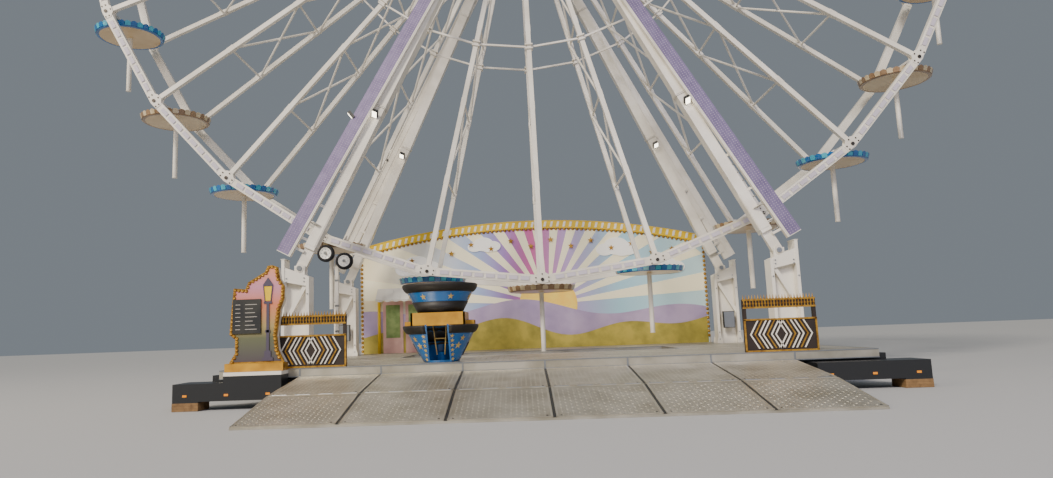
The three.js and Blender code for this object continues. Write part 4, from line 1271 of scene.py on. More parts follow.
# %% Deck plates
DECK_TOP = 0.9
DECK_HALF = 7.98
DECK_PLATES = 8
DECK_SHEET = 0.004
DECK_STUD_PITCH = 0.16
SEAM = 0.012
CHANNEL_HALF = 4.32
CHANNEL_SEAM = 6.15
TOWER_HOLE = (6.61, 7.47)
ROWS = [(-5.94, -4.57, "whole"), (-4.57, -3.2, "whole"), (-3.2, -2.62, "towers"), (-2.62, -1.37, "whole"),
        (-1.37, 1.37, "channel"), (1.37, 2.62, "whole"), (2.62, 3.2, "towers"), (3.2, 4.62, "whole")]
EDGES = spread(-DECK_HALF, DECK_HALF, DECK_PLATES + 1)
WHOLE_SPANS = list(zip(EDGES, EDGES[1:]))
SPANS = {
    "whole": WHOLE_SPANS,
    "channel": [(-DECK_HALF, -CHANNEL_SEAM), (-CHANNEL_SEAM, -CHANNEL_HALF), (CHANNEL_HALF, CHANNEL_SEAM),
                (CHANNEL_SEAM, DECK_HALF)],
    "towers": WHOLE_SPANS[1:-1] + [(-DECK_HALF, -TOWER_HOLE[1]), (-TOWER_HOLE[0], EDGES[1]),
                                   (EDGES[-2], TOWER_HOLE[0]), (TOWER_HOLE[1], DECK_HALF)],
}
deck_sheets, deck_studs = forms(2)
for low_y, high_y, kind in ROWS:
    for low_x, high_x in SPANS[kind]:
        corner = Vector((low_x + SEAM / 2, low_y + SEAM / 2, DECK_TOP))
        tread_plate(deck_sheets, deck_studs, corner, ALONG_X, ALONG_Y, high_x - low_x - SEAM,
                    high_y - low_y - SEAM, DECK_SHEET, DECK_STUD_PITCH)
make("deck_tread_sheets", deck_sheets, rolled_aluminium, "base", "deck_aluminium")
make("deck_tread_studs", deck_studs, tread_aluminium, "base", "deck_aluminium")
print(len(deck_studs.points), "points in the deck's studs")

# %% [markdown]
# ### Edge trim
# A folded steel edge covers the plates' cut ends at the deck's front and sides and round the
# channel. The riser under the front edge is closed with panels, whose joints are covered with
# narrow strips.

# %% Deck trim
DECK_EDGE = 8.0
DECK_REAR = 5.14
RISER_FACE = -6.0
RISER_LAP = -5.94
TRIM_HEIGHTS = (0.885, 0.908)
CHANNEL_TRIM_HEIGHTS = (0.89, 0.912)
CHANNEL_DEPTH_HALF = 1.36
trim = Form()
low, high = TRIM_HEIGHTS
trim.block((-DECK_EDGE, RISER_FACE - 0.012, low), (DECK_EDGE, RISER_LAP, high))
trim.block((-DECK_EDGE, RISER_FACE - 0.01, 0.69), (DECK_EDGE, RISER_FACE, 0.715))
for seam in range(-3, 4):
    trim.block((seam * 2 - 0.02, RISER_FACE - 0.008, 0.7), (seam * 2 + 0.02, RISER_FACE, DECK_TOP))
for side in SIDES:
    low, high = TRIM_HEIGHTS
    trim.block((side * DECK_EDGE - 0.01, RISER_LAP, low), (side * DECK_EDGE + 0.01, DECK_REAR, high))
    low, high = CHANNEL_TRIM_HEIGHTS
    y = side * CHANNEL_DEPTH_HALF
    trim.block((-CHANNEL_HALF, y - 0.012, low), (CHANNEL_HALF, y + 0.012, high))
    x = side * (CHANNEL_HALF - 0.01)
    trim.block((x - 0.012, -CHANNEL_DEPTH_HALF, low), (x + 0.012, CHANNEL_DEPTH_HALF, high))
make("deck_trim", trim, zinc_bolts, "base", "deck_aluminium")
print("deck trimmed")

# %% [markdown]
# ## Ramp
# Six plates side by side make each of the ramp's two slopes. Folded edges frame a plate, and dark
# guide channels lie between the plates. Two dark discs at a plate's foot stand for its lifting
# eyes. The lower slope hinges on the upper one.

# %% Ramp plates and their edges
RAMP_FOOT = Vector((0, -10.2, 0.04))
RAMP_FOLD = Vector((0, -8.2, 0.43))
RAMP_HEAD = Vector((0, -6.0, 0.69))
RAMP_PLATES = 6
RAMP_HALF = 6.0
RAMP_END_GAP = 0.05
RAMP_START = 0.02
RAMP_SHEET = 0.012
CHANNEL_WIDTH = 0.09
FOLDED_EDGE = {"half_width": 0.012, "half_height": 0.006}
LIFTING_EYE = {"radius": 0.026, "height": 0.006, "sides": 12}
EYE_PLACE = (0.09, 0.1)
CHANNEL_FLOOR = {"side_gap": 0.004, "half_height": 0.003}
CHANNEL_LIP = {"place": 0.036, "middle": 0.009, "half_width": 0.005, "half_height": 0.011}
ramp_edges_x = spread(-RAMP_HALF, RAMP_HALF, RAMP_PLATES + 1)
ramp_sheets, ramp_studs, ramp_edges, ramp_channels = forms(4)
for front_end, rear_end in ((RAMP_FOOT, RAMP_FOLD), (RAMP_FOLD, RAMP_HEAD)):
    slope = (rear_end - front_end).normalized()
    normal = ALONG_X.cross(slope)
    length = (rear_end - front_end).length - RAMP_END_GAP
    for plate in range(RAMP_PLATES):
        low_x = ramp_edges_x[plate] + (CHANNEL_WIDTH / 2 if plate else 0)
        high_x = ramp_edges_x[plate + 1] - (CHANNEL_WIDTH / 2 if plate < RAMP_PLATES - 1 else 0)
        width = high_x - low_x
        corner = front_end + slope * RAMP_START + ALONG_X * low_x
        tread_plate(ramp_sheets, ramp_studs, corner, ALONG_X, slope, width, length, RAMP_SHEET)
        top = corner + normal * RAMP_SHEET
        half, rise = FOLDED_EDGE["half_width"], normal * FOLDED_EDGE["half_height"]
        for shift in (half, width - half):
            ramp_edges.box(top + slope * length / 2 + ALONG_X * shift, ALONG_X * half, slope * length / 2,
                           rise)
        for shift in (half, length - half):
            ramp_edges.box(top + slope * shift + ALONG_X * width / 2, ALONG_X * width / 2, slope * half,
                           rise)
        for shift in (EYE_PLACE[0], width - EYE_PLACE[0]):
            spot = top + slope * EYE_PLACE[1] + ALONG_X * shift
            ramp_channels.bolt(spot - normal * 0.004, normal, **LIFTING_EYE)
    for x in ramp_edges_x[1:-1]:
        spot = front_end + slope * (length / 2 + RAMP_START) + ALONG_X * x
        rise = normal * CHANNEL_FLOOR["half_height"]
        half = CHANNEL_WIDTH / 2 - CHANNEL_FLOOR["side_gap"]
        ramp_channels.box(spot + rise, ALONG_X * half, slope * length / 2, rise)
        for edge in SIDES:
            ramp_edges.box(spot + ALONG_X * edge * CHANNEL_LIP["place"] + normal * CHANNEL_LIP["middle"],
                           ALONG_X * CHANNEL_LIP["half_width"], slope * length / 2,
                           normal * CHANNEL_LIP["half_height"])
make("ramp_tread_sheets", ramp_sheets, rolled_aluminium, "base", "deck_aluminium")
make("ramp_tread_studs", ramp_studs, tread_aluminium, "base", "deck_aluminium")
make("ramp_edges", ramp_edges, tread_aluminium, "base", "deck_aluminium")
make("ramp_guide_channels", ramp_channels, black_enamel, "base", "chassis_paint")
print(len(ramp_studs.points), "points in the ramp's studs")

# %% [markdown]
# ### Ramp hinges
# A row of hinge barrels lies along the fold between the two slopes, four to a plate.

# %% Hinge barrels
HINGES = 24
HINGE_PITCH = 2 * RAMP_HALF / HINGES
HINGE_HALF = 0.16
HINGE_RADIUS = 0.016
hinges = Form()
for leaf in range(HINGES):
    spot = RAMP_FOLD + ALONG_X * ((leaf + 0.5) * HINGE_PITCH - RAMP_HALF) + UP * 0.007
    hinges.tube(spot - ALONG_X * HINGE_HALF, spot + ALONG_X * HINGE_HALF, HINGE_RADIUS)
make("ramp_hinges", hinges, zinc_bolts, "base", "deck_aluminium")
print(HINGES, "hinge barrels")

# %% [markdown]
# ## Railings
# The railing at each end of the ramp's head is a dark board with raised chevrons in cream and gold
# that point outwards from its middle. Over it runs an openwork cornice with a row of spikes.

# %% Chevrons and their border
FENCE_SPAN = (4.85, 6.6)
FENCE_FACE = -6.0
BOARD_MIDDLE = 1.325
CHEVRON = {"half_height": 0.335, "lean": 0.19, "width": 0.034, "pitch": 0.1, "relief": 0.022}
CHEVRONS_A_SIDE = 7
CHEVRON_OVERLAP = 0.04
BORDER = {"heights": (0.93, 1.685), "half_width": 0.02, "depth": 0.025, "top": 1.69}
cream_chevrons, gold_chevrons = forms(2)


def chevron(form, x, way):
    """A bent strip whose tip points along `way`."""
    lean, width, half = CHEVRON["lean"], CHEVRON["width"], CHEVRON["half_height"]
    outline = [(way * lean, 0), (0, half), (-way * width, half), (way * (lean - width), 0),
               (-way * width, -half), (0, -half)]
    facing(form, [(x + a, BOARD_MIDDLE + b) for a, b in outline], FENCE_FACE, CHEVRON["relief"])


for side in SIDES:
    low, high = sorted(side * end for end in FENCE_SPAN)
    for way in SIDES:
        for step in range(CHEVRONS_A_SIDE):
            form = gold_chevrons if step % 3 == 2 else cream_chevrons
            chevron(form, (low + high) / 2 + way * (step * CHEVRON["pitch"] - CHEVRON_OVERLAP), way)
    half, front = BORDER["half_width"], FENCE_FACE - BORDER["depth"]
    for z in BORDER["heights"]:
        gold_chevrons.block((low, front, z - half), (high, FENCE_FACE, z + half))
    for x in (low + half, high - half):
        gold_chevrons.block((x - half, front, BORDER["heights"][0]), (x + half, FENCE_FACE, BORDER["top"]))
make("fence_cream_chevrons", cream_chevrons, cream_enamel, "base", "ornament_paint")
make("fence_gold_chevrons", gold_chevrons, gold_paint, "base", "ornament_paint")
print(4 * CHEVRONS_A_SIDE, "chevrons")

# %% [markdown]
# ### Cornice and spikes
# The cornice is two rails with turned balusters between them: a thin rod and a thicker bead. A
# spike on a small foot stands behind each baluster.

# %% Cornice and spikes
CORNICE_RAILS = (1.975, 2.165)
CORNICE_HALF = 0.02
BALUSTERS = 24
BALUSTER_PLACE = FENCE_FACE - 0.008
BALUSTER = [(1.99, 2.15, 0.014), (2.05, 2.09, 0.026)]
SPIKE_PLACE = FENCE_FACE + 0.04
SPIKE = [(2.18, 2.2, 0.02, 0.02), (2.2, 2.29, 0.015, 0.002)]
cornice, finials = forms(2)
for side in SIDES:
    low, high = sorted(side * end for end in FENCE_SPAN)
    for z in CORNICE_RAILS:
        cornice.block((low, FENCE_FACE - CORNICE_HALF, z - CORNICE_HALF),
                      (high, FENCE_FACE, z + CORNICE_HALF))
    for step in range(BALUSTERS):
        x = low + (step + 0.5) * (high - low) / BALUSTERS
        for foot, top, radius in BALUSTER:
            cornice.tube(Vector((x, BALUSTER_PLACE, foot)), Vector((x, BALUSTER_PLACE, top)), radius, 10)
        for foot, top, radius, tip in SPIKE:
            finials.tube(Vector((x, SPIKE_PLACE, foot)), Vector((x, SPIKE_PLACE, top)), radius, 10, tip)
make("fence_cornice", cornice, gold_paint, "base", "ornament_paint")
make("fence_finials", finials, gold_paint, "base", "ornament_paint")
print(2 * BALUSTERS, "balusters and spikes")

# %% [markdown]
# ## The cut-out sign
# A cut-out board stands left of the ramp on an ochre plinth. It has a border of gilded beads, a
# sunset sky, a black slate and a street lantern. Sign painters blend such a sky wet in wet, so one
# node blends its colours along an axis; the backdrop's sky uses the same.

# %% Tools for a painted board
BEAD_SIDES = 10


def faded(material, axis, low, high, stops):
    """Blends colours along one axis; each stop is a share of the way from low to high, and a colour."""
    parts = add_node(material, "ShaderNodeSeparateXYZ", {}, {"Vector": metres(material)})
    share = add_node(material, "ShaderNodeMapRange", {"From Min": low, "From Max": high},
                     {"Value": parts.outputs[axis]})
    blend = add_node(material, "ShaderNodeValToRGB", {}, {"Fac": share.outputs["Result"]})
    ramp = blend.color_ramp.elements
    ramp[0].color, ramp[1].color = linear(stops[0][1]), linear(stops[-1][1])
    for position, colour in stops[1:-1]:
        ramp.new(position).color = linear(colour)
    material.node_tree.links.new(blend.outputs["Color"], shader_of(material).inputs["Base Color"])
    return material


def drawn_in(outline, margin):
    """A clockwise outline with every edge moved inwards by a margin."""
    moved = []
    for before, corner, after in zip(outline[-1:] + outline[:-1], outline, outline[1:] + outline[:1]):
        normals = []
        for (x0, z0), (x1, z1) in ((before, corner), (corner, after)):
            length = math.hypot(x1 - x0, z1 - z0)
            normals.append(((z1 - z0) / length, -(x1 - x0) / length))
        (ax, az), (bx, bz) = normals
        share = margin / (1 + ax * bx + az * bz)
        moved.append((corner[0] + share * (ax + bx), corner[1] + share * (az + bz)))
    return moved


def beads_along(form, line, y, pitch, profile):
    """Turned beads in a row along a line, on a board that faces the visitors."""
    for (x0, z0), (x1, z1) in zip(line, line[1:]):
        count = max(1, round(math.hypot(x1 - x0, z1 - z0) / pitch))
        for step in range(count):
            x, z = x0 + (x1 - x0) * step / count, z0 + (z1 - z0) * step / count
            form.turned(profile, Vector((x, y, z)), BEAD_SIDES, axis=-ALONG_Y)


print("a square drawn in is", drawn_in([(0, 0), (0, 1), (1, 1), (1, 0)], 0.25))

# %% [markdown]
# ### Board, sky and beads
# The outline is cut once and drawn in by a margin for the sky, for the board's sides and for the
# row of beads, so that each follows the board's edge. A bead is a turned profile, gilded all over.

# %% Sign board, sky and beads
SIGN_FACE = -6.26
SIGN_BACK = -6.03
SIGN_THICKNESS = 0.168
SKY_THICKNESS = 0.008
MARGINS = {"sky": 0.04, "sides": 0.012, "beads": 0.045}
SIGN_OUTLINE = [(-7.65, 1.07), (-7.51, 1.32), (-7.51, 1.65), (-7.65, 1.77), (-7.61, 2.37), (-7.56, 2.90),
                (-7.27, 2.87), (-7.20, 3.04), (-6.79, 3.28), (-6.72, 3.43), (-6.60, 3.44), (-6.47, 3.39),
                (-6.42, 3.10), (-6.30, 2.91), (-6.31, 2.63), (-6.41, 2.35), (-6.49, 1.73), (-6.45, 1.38),
                (-6.31, 1.07)]
BEAD_PITCH = 0.095
BEAD = [(0, 0), (0.044, 0), (0.048, 0.012), (0.032, 0.034), (0, 0.042)]
sign_sky = faded(finish("sunset_sign_paint", "#C9743F", 0.5), "Z", 1.0, 3.4,
                 [(0, "#4A4150"), (0.28, "#5F6348"), (0.4, "#A8935C"), (0.62, "#D67F5C"), (0.8, "#C98AA0"),
                  (1, "#E79A6B")])
sky, sides, beads = forms(3)
facing(sky, drawn_in(SIGN_OUTLINE, MARGINS["sky"]), SIGN_FACE, SKY_THICKNESS)
facing(sides, drawn_in(SIGN_OUTLINE, MARGINS["sides"]), SIGN_BACK, SIGN_THICKNESS)
beads_along(beads, drawn_in(SIGN_OUTLINE, MARGINS["beads"]), SIGN_FACE, BEAD_PITCH, BEAD)
make("sign_sky", sky, sign_sky, "base", "ornament_paint")
make("sign_sides", sides, cream_enamel, "base", "ornament_paint")
make("sign_beads", beads, gold_paint, "base", "ornament_paint", smooth=True)
print(len(beads.points), "points in the sign's beads")

# %% [markdown]
# ### Slate, strokes, lantern and plinth
# The slate is a dark board with rows of chalk-grey strokes, a short one and a long one to a row.
# The lantern is built up from square steps round one upright: foot, post, collar, tray and lid.

# %% Slate, lantern and plinth
SLATE = ((-7.56, SIGN_FACE - 0.05, 1.79), (-6.87, SIGN_FACE - 0.006, 2.62))
STROKE_ROWS = [1.89 + 0.1 * row for row in range(7)]
STROKE_HALF = 0.007
LANTERN_PLACE = Vector((-6.70, SIGN_FACE - 0.012, 0))
LANTERN_STEPS = [(0.13, 1.12, 1.2), (0.08, 1.2, 1.36), (0.035, 1.36, 2.5), (0.06, 1.8, 1.86),
                 (0.1, 2.5, 2.55), (0.12, 2.93, 2.97)]
LANTERN_LID = [(-6.82, 2.97), (-6.58, 2.97), (-6.70, 3.14)]
LANTERN_PANE = [(-6.765, 2.57), (-6.635, 2.57), (-6.60, 2.92), (-6.80, 2.92)]
LANTERN_BAR = 0.02
PLINTH = [((-7.69, -6.44, 0.885), (-6.27, -6.43, 1.07)), ((-7.69, -6.44, 1.065), (-6.27, -6.262, 1.08))]
chalk = finish("chalk_grey_paint", "#B4AEA6", 0.7)
lantern_paint = finish("slate_violet_sign_paint", "#4D4658", 0.5)
slate, strokes, lantern, lantern_light, plinth = forms(5)
slate.block(*SLATE)
slate_face = SLATE[0][1]
for row, z in enumerate(STROKE_ROWS):
    for left, right in ((-7.49, -7.37), (-7.25, -6.96 - 0.05 * (row % 3))):
        strokes.block((left, slate_face - 0.004, z - STROKE_HALF), (right, slate_face, z + STROKE_HALF))
for half, low, high in LANTERN_STEPS:
    lantern.block(LANTERN_PLACE + Vector((-half, -0.02, low)), LANTERN_PLACE + Vector((half, 0, high)))
for side in SIDES:
    low, high = (LANTERN_PLACE + Vector((side * x, -0.01, z)) for x, z in ((0.07, 2.55), (0.11, 2.93)))
    lantern.bar(low, high, LANTERN_BAR, LANTERN_BAR, ALONG_X)
facing(lantern, LANTERN_LID, SIGN_FACE - 0.01, 0.02)
facing(lantern_light, LANTERN_PANE, SIGN_FACE - 0.01, 0.012)
for low, high in PLINTH:
    plinth.block(low, high)
make("sign_slate", slate, black_enamel, "base", "ornament_paint")
make("sign_strokes", strokes, chalk, "base", "ornament_paint")
make("sign_lantern", lantern, lantern_paint, "base", "ornament_paint")
make("sign_lantern_light", lantern_light, yellow_enamel, "base", "ornament_paint")
make("sign_plinth", plinth, ochre_enamel, "base", "ornament_paint")
print(2 * len(STROKE_ROWS), "strokes on the slate")

# %% [markdown]
# ## The painted backdrop
# The backdrop is plywood, painted and lit. A sun with rays, layered hills, clouds and stars are cut
# from thin board and set on it in low relief. Scenic paint is a matte emulsion; a faint glow stands
# for the lamps that light it from the front.

# %% The wall's arch and its paints
WALL_FACE = 4.70
WALL_HALF = 6.90
WALL_EAVES = 4.835
WALL_CROWN = 5.70
WALL_FOOT = 0.905
ARCH_RADIUS = (WALL_HALF ** 2 + (WALL_CROWN - WALL_EAVES) ** 2) / (2 * (WALL_CROWN - WALL_EAVES))
LAYER = 0.008


def arch_height(x):
    return WALL_CROWN - ARCH_RADIUS + math.sqrt(ARCH_RADIUS ** 2 - x ** 2)


def board(form, outline, layer, thickness=LAYER):
    """A cut-out board on the wall; layers count forwards."""
    facing(form, outline, WALL_FACE - 0.002 - layer * LAYER, thickness)


def oval(x, z, half_width, half_height, count):
    return [(x + half_width * math.cos(turn), z + half_height * math.sin(turn)) for turn in turns(count)]


painted = {
    "sky": faded(finish("fading_sky_scenic_paint", "#B9DCEF", 0.6), "X", -WALL_HALF, WALL_HALF,
                 [(0, "#FFF3C8"), (0.22, "#E9EEF0"), (0.34, "#A9C0E8"), (0.42, "#A886CE"), (0.5, "#D86AA8"),
                  (0.6, "#C3A6DC"), (0.75, "#A9D8EC"), (1, "#CDEBF2")]),
    "rays": finish("cream_scenic_paint", "#FBF3D2", 0.6, glow=0.15),
    "sun": mottled(finish("warm_yellow_scenic_paint", "#F9D560", 0.6, glow=0.2), "#F4B83C", 700),
    "far_hills": mottled(finish("lilac_hill_scenic_paint", "#B9A6C8", 0.6, glow=0.05), "#9F8DB6", 900),
    "near_hills": mottled(finish("olive_hill_scenic_paint", "#B8A748", 0.6, glow=0.05), "#8F8636", 500),
    "clouds": finish("white_cloud_scenic_paint", "#FBFAF6", 0.6, glow=0.15),
    "booth": mottled(finish("rose_booth_paint", "#D9AFA6", 0.5, glow=0.05), "#C4938E", 500),
    "panes": mottled(finish("leaf_green_scenic_paint", "#93A868", 0.6), "#6F8A4C", 300),
}
print("arch radius", round(ARCH_RADIUS, 2), "m")

# %% [markdown]
# ### Sky, sun, hills and clouds
# Each ray is a triangle from the sun to the wall's edge, found by walking outwards until the edge is
# near. A hill's ridge is a sine wave whose height fades with a slower one, and a cloud is four
# overlapping ovals on layers of their own.

# %% Backdrop sky, sun, hills and clouds
SUN = (0.6, 2.6)
SUN_RADIUS = 1.15
RAYS = 14
EDGE_MARGIN = 0.12
HILLS = {"far_hills": (2.35, 0.5, 1.3, 2), "near_hills": (1.75, 0.42, 2.1, 3)}
HILL_HALF = WALL_HALF - 0.1
SKY_HALF = WALL_HALF - 0.06
CLOUDS = [(-4.6, 4.2, 0.55), (-1.9, 5.0, 0.4), (3.4, 4.7, 0.5), (5.3, 3.9, 0.45), (-3.1, 3.6, 0.35)]
PUFFS = [(-0.9, 0, 0.7), (0, 0.25, 1.0), (0.95, 0.02, 0.75), (0.45, 0, 0.8)]


def wall_point(turn):
    """Where a ray from the sun at this turn meets the wall's edge."""
    x, z = SUN
    reach = 0.0
    while abs(x) < WALL_HALF - EDGE_MARGIN and WALL_FOOT + 0.05 < z < arch_height(x) - EDGE_MARGIN:
        reach += 0.05
        x, z = SUN[0] + reach * math.cos(turn), SUN[1] + reach * math.sin(turn)
    return x, z


backdrop = {part: Form() for part in ("sky", "rays", "sun", "far_hills", "near_hills", "clouds")}
arch = [(x, arch_height(x) - 0.06) for x in spread(SKY_HALF, -SKY_HALF, 41)]
board(backdrop["sky"], [(-SKY_HALF, WALL_FOOT), (SKY_HALF, WALL_FOOT)] + arch, 0, 0.004)
for ray in range(RAYS):
    turn = (ray + 0.25) * math.pi / RAYS
    board(backdrop["rays"], [SUN, wall_point(turn), wall_point(turn + math.pi / (2 * RAYS))], 0)
board(backdrop["sun"], oval(*SUN, SUN_RADIUS, SUN_RADIUS, 48), 1)
for part, (base, rise, waves, layer) in HILLS.items():
    ridge = [(x, base + rise * math.sin(waves * x / 2 + layer) * math.cos(x / 3))
             for x in spread(HILL_HALF, -HILL_HALF, 65)]
    board(backdrop[part], [(-HILL_HALF, WALL_FOOT), (HILL_HALF, WALL_FOOT)] + ridge, layer)
for x, z, size in CLOUDS:
    for puff, (shift, rise, share) in enumerate(PUFFS):
        outline = oval(x + size * shift, z + size * rise, size * share, 0.7 * size * share, 28)
        board(backdrop["clouds"], outline, 4 + puff * 0.3)
for part, form in backdrop.items():
    make(f"backdrop_{part}", form, painted[part], "base", "backdrop_paint")
print(len(backdrop), "layers painted")

# %% [markdown]
# ### Booth, posts and awning on the backdrop
# A booth with a white awning is set into the left end, between yellow posts. The awning is nine
# stiff strips that lean forwards, each with a round lappet at its lower edge.

# %% Booth and awning
BOOTH = {"places": (-6.0, -5.1, -4.2), "width": 0.8, "top": 2.95}
PANE = {"margin": 0.12, "foot": 1.5, "top": 2.8}
BOOTH_POSTS = (-6.15, -3.3)
POST_STEPS = [(WALL_FOOT, 3.0, 0.06), (3.0, 3.08, 0.08)]
AWNING_START = -6.2
STRIPE_PITCH = 0.33
STRIPE_WIDTH = 0.325
STRIPE_COUNT = 9
AWNING_MIDDLE = (WALL_FACE - 0.3, 3.22)
AWNING_LEAN = Vector((0, -0.55, -0.5)).normalized()
AWNING_HALF = 0.36
CLOTH = 0.012
LAPPET = {"half_width": 0.16, "height": 3.0, "drop": 0.09, "place": 0.55}
booth, booth_panes, awning, yellow_posts = forms(4)


def upright_oblong(x, z, width, top):
    return [(x, z), (x + width, z), (x + width, top), (x, top)]


for x in BOOTH["places"]:
    board(booth, upright_oblong(x, WALL_FOOT, BOOTH["width"], BOOTH["top"]), 4, 0.02)
    pane_width = BOOTH["width"] - 2 * PANE["margin"]
    board(booth_panes, upright_oblong(x + PANE["margin"], PANE["foot"], pane_width, PANE["top"]), 6.5, 0.01)
for x in BOOTH_POSTS:
    for foot, top, radius in POST_STEPS:
        yellow_posts.tube(Vector((x, WALL_FACE - 0.07, foot)), Vector((x, WALL_FACE - 0.07, top)), radius, 20)
for stripe in range(STRIPE_COUNT):
    x = AWNING_START + stripe * STRIPE_PITCH + STRIPE_WIDTH / 2
    awning.box(Vector((x, *AWNING_MIDDLE)), ALONG_X * STRIPE_WIDTH / 2, AWNING_LEAN * AWNING_HALF,
               ALONG_X.cross(AWNING_LEAN) * CLOTH)
    lappet = [(x + LAPPET["half_width"] * math.cos(turn), LAPPET["height"] + LAPPET["drop"] * math.sin(turn))
              for turn in spread(math.pi, 2 * math.pi, 9)]
    facing(awning, lappet, WALL_FACE - LAPPET["place"], CLOTH)
make("backdrop_booth", booth, painted["booth"], "base", "backdrop_paint")
make("backdrop_booth_panes", booth_panes, painted["panes"], "base", "backdrop_paint")
make("backdrop_awning", awning, white_enamel, "base", "backdrop_paint")
make("backdrop_yellow_posts", yellow_posts, yellow_enamel, "base", "backdrop_paint", smooth=True)
print(STRIPE_COUNT, "strips of awning")

# %% [markdown]
# ### Beads and stars on the backdrop
# A beaded frame follows the edge of the wall, and gilded stars hang below it at two heights by
# turns. Both reuse the forms of the sign and of the tubs.

# %% Beaded frame and stars
WALL_BEAD_PITCH = 0.17
WALL_BEAD = [(0, 0), (0.055, 0), (0.06, 0.02), (0.035, 0.05), (0, 0.06)]
WALL_STARS = 15
WALL_STAR = {"size": 0.13, "notch": 0.055}
STAR_DROP = 0.5
STAR_STEP = 0.25
frame_beads, wall_stars = forms(2)
frame_end = WALL_HALF - 0.07
frame_line = [(-frame_end, WALL_FOOT + 0.1)] + arch[::-1] + [(frame_end, WALL_FOOT + 0.1)]
beads_along(frame_beads, frame_line, WALL_FACE - 0.006, WALL_BEAD_PITCH, WALL_BEAD)
for step, x in enumerate(spread(-5.6, 5.6, WALL_STARS)):
    z = arch_height(x) - STAR_DROP - STAR_STEP * (step % 2)
    board(wall_stars, star_outline(x, z, **WALL_STAR), 6, 0.014)
make("backdrop_beads", frame_beads, gold_paint, "base", "backdrop_paint", smooth=True)
make("backdrop_stars", wall_stars, gold_paint, "base", "backdrop_paint")
print(WALL_STARS, "stars on the wall")

# %% [markdown]
# ### The striped crown
# A band in yellow and white stripes caps the wall. It follows the arch in short straight steps, one
# to a stripe, and each white stripe leans a little.

# %% Crown stripes
CROWN_FACE = 4.656
CROWN_BACK = 4.824
CROWN_HEIGHT = 0.26
CROWN_SKIN = 0.003
STRIPES = 54
STRIPE = {"start": 0.02, "end": 0.11, "slant": 0.05, "foot": 0.025, "top": 0.03, "relief": 0.012}
CROWN_EDGE = {"place": 4.74, "width": 0.19, "height": 0.028, "gap": 0.012}
crown_skin, stripes, crown_edges = forms(3)
steps = spread(-WALL_HALF, WALL_HALF, STRIPES + 1)
low_edge = [(x, arch_height(x) - CROWN_SKIN) for x in steps]
high_edge = [(x, arch_height(x) + CROWN_HEIGHT + CROWN_SKIN) for x in reversed(steps)]
facing(crown_skin, low_edge + high_edge, CROWN_BACK, CROWN_BACK - CROWN_FACE)
for x0, x1 in zip(steps, steps[1:]):
    z0, z1 = arch_height(x0), arch_height(x1)
    low, high = z0 + STRIPE["foot"], z0 + CROWN_HEIGHT - STRIPE["top"]
    left, right, slant = x0 + STRIPE["start"], x0 + STRIPE["end"], STRIPE["slant"]
    facing(stripes, [(left, low), (right, low), (right + slant, high), (left + slant, high)], CROWN_FACE,
           STRIPE["relief"])
    for rise in (-CROWN_EDGE["gap"], CROWN_HEIGHT + CROWN_EDGE["gap"]):
        start, end = (Vector((x, CROWN_EDGE["place"], z + rise)) for x, z in ((x0, z0), (x1, z1)))
        crown_edges.bar(start, end, CROWN_EDGE["width"], CROWN_EDGE["height"], ALONG_Y)
make("crown_skin", crown_skin, yellow_enamel, "base", "backdrop_paint")
make("crown_stripes", stripes, white_enamel, "base", "backdrop_paint")
make("crown_edges", crown_edges, yellow_enamel, "base", "backdrop_paint")
print(STRIPES, "stripes on the crown")

# %% [markdown]
# ### The braces
# Behind the wall, uprights on cross-rails hold the boards, and a raking strut with a foot plate
# props each upright against the wind.

# %% Rear braces
BRACE_PLACES = (-5.6, -2.8, 0, 2.8, 5.6)
BRACE_RAILS = (1.6, 2.9, 4.2)
BRACE_FACE = 4.782
BRACE_BACK = 4.86
BRACE_HALF = 0.04
RAIL_HALF = 0.035
STRUT = {"width": 0.06, "depth": 0.05}
STRUT_FOOT = (5.09, 0.95)
STRUT_PLATE = {"half_width": 0.08, "depths": (4.8, 5.13), "heights": (0.9, 0.93)}
braces = Form()
for x in BRACE_PLACES:
    braces.block((x - BRACE_HALF, BRACE_FACE, WALL_FOOT), (x + BRACE_HALF, BRACE_BACK, arch_height(x) - 0.1))
    braces.bar(Vector((x, BRACE_BACK, arch_height(x) - 0.9)), Vector((x, *STRUT_FOOT)), **STRUT,
               across=ALONG_X)
    half, (near, far), (low, high) = STRUT_PLATE.values()
    braces.block((x - half, near, low), (x + half, far, high))
for z in BRACE_RAILS:
    braces.block((-WALL_HALF + 0.1, BRACE_FACE, z - RAIL_HALF), (WALL_HALF - 0.1, 4.83, z + RAIL_HALF))
make("backdrop_braces", braces, cream_enamel, "base", "cream_paint")
print(len(BRACE_PLACES), "braces")

# %% [markdown]
# ## The friction drive
# Two rubber tyres press on the front rim and turn it. A tyre is a lathed shape: a shouldered tread
# and a bulging side wall, on a white wheel with a hub motor inside and a ring of bolts. The tyre
# stands for the packed node, which has fewer sides.

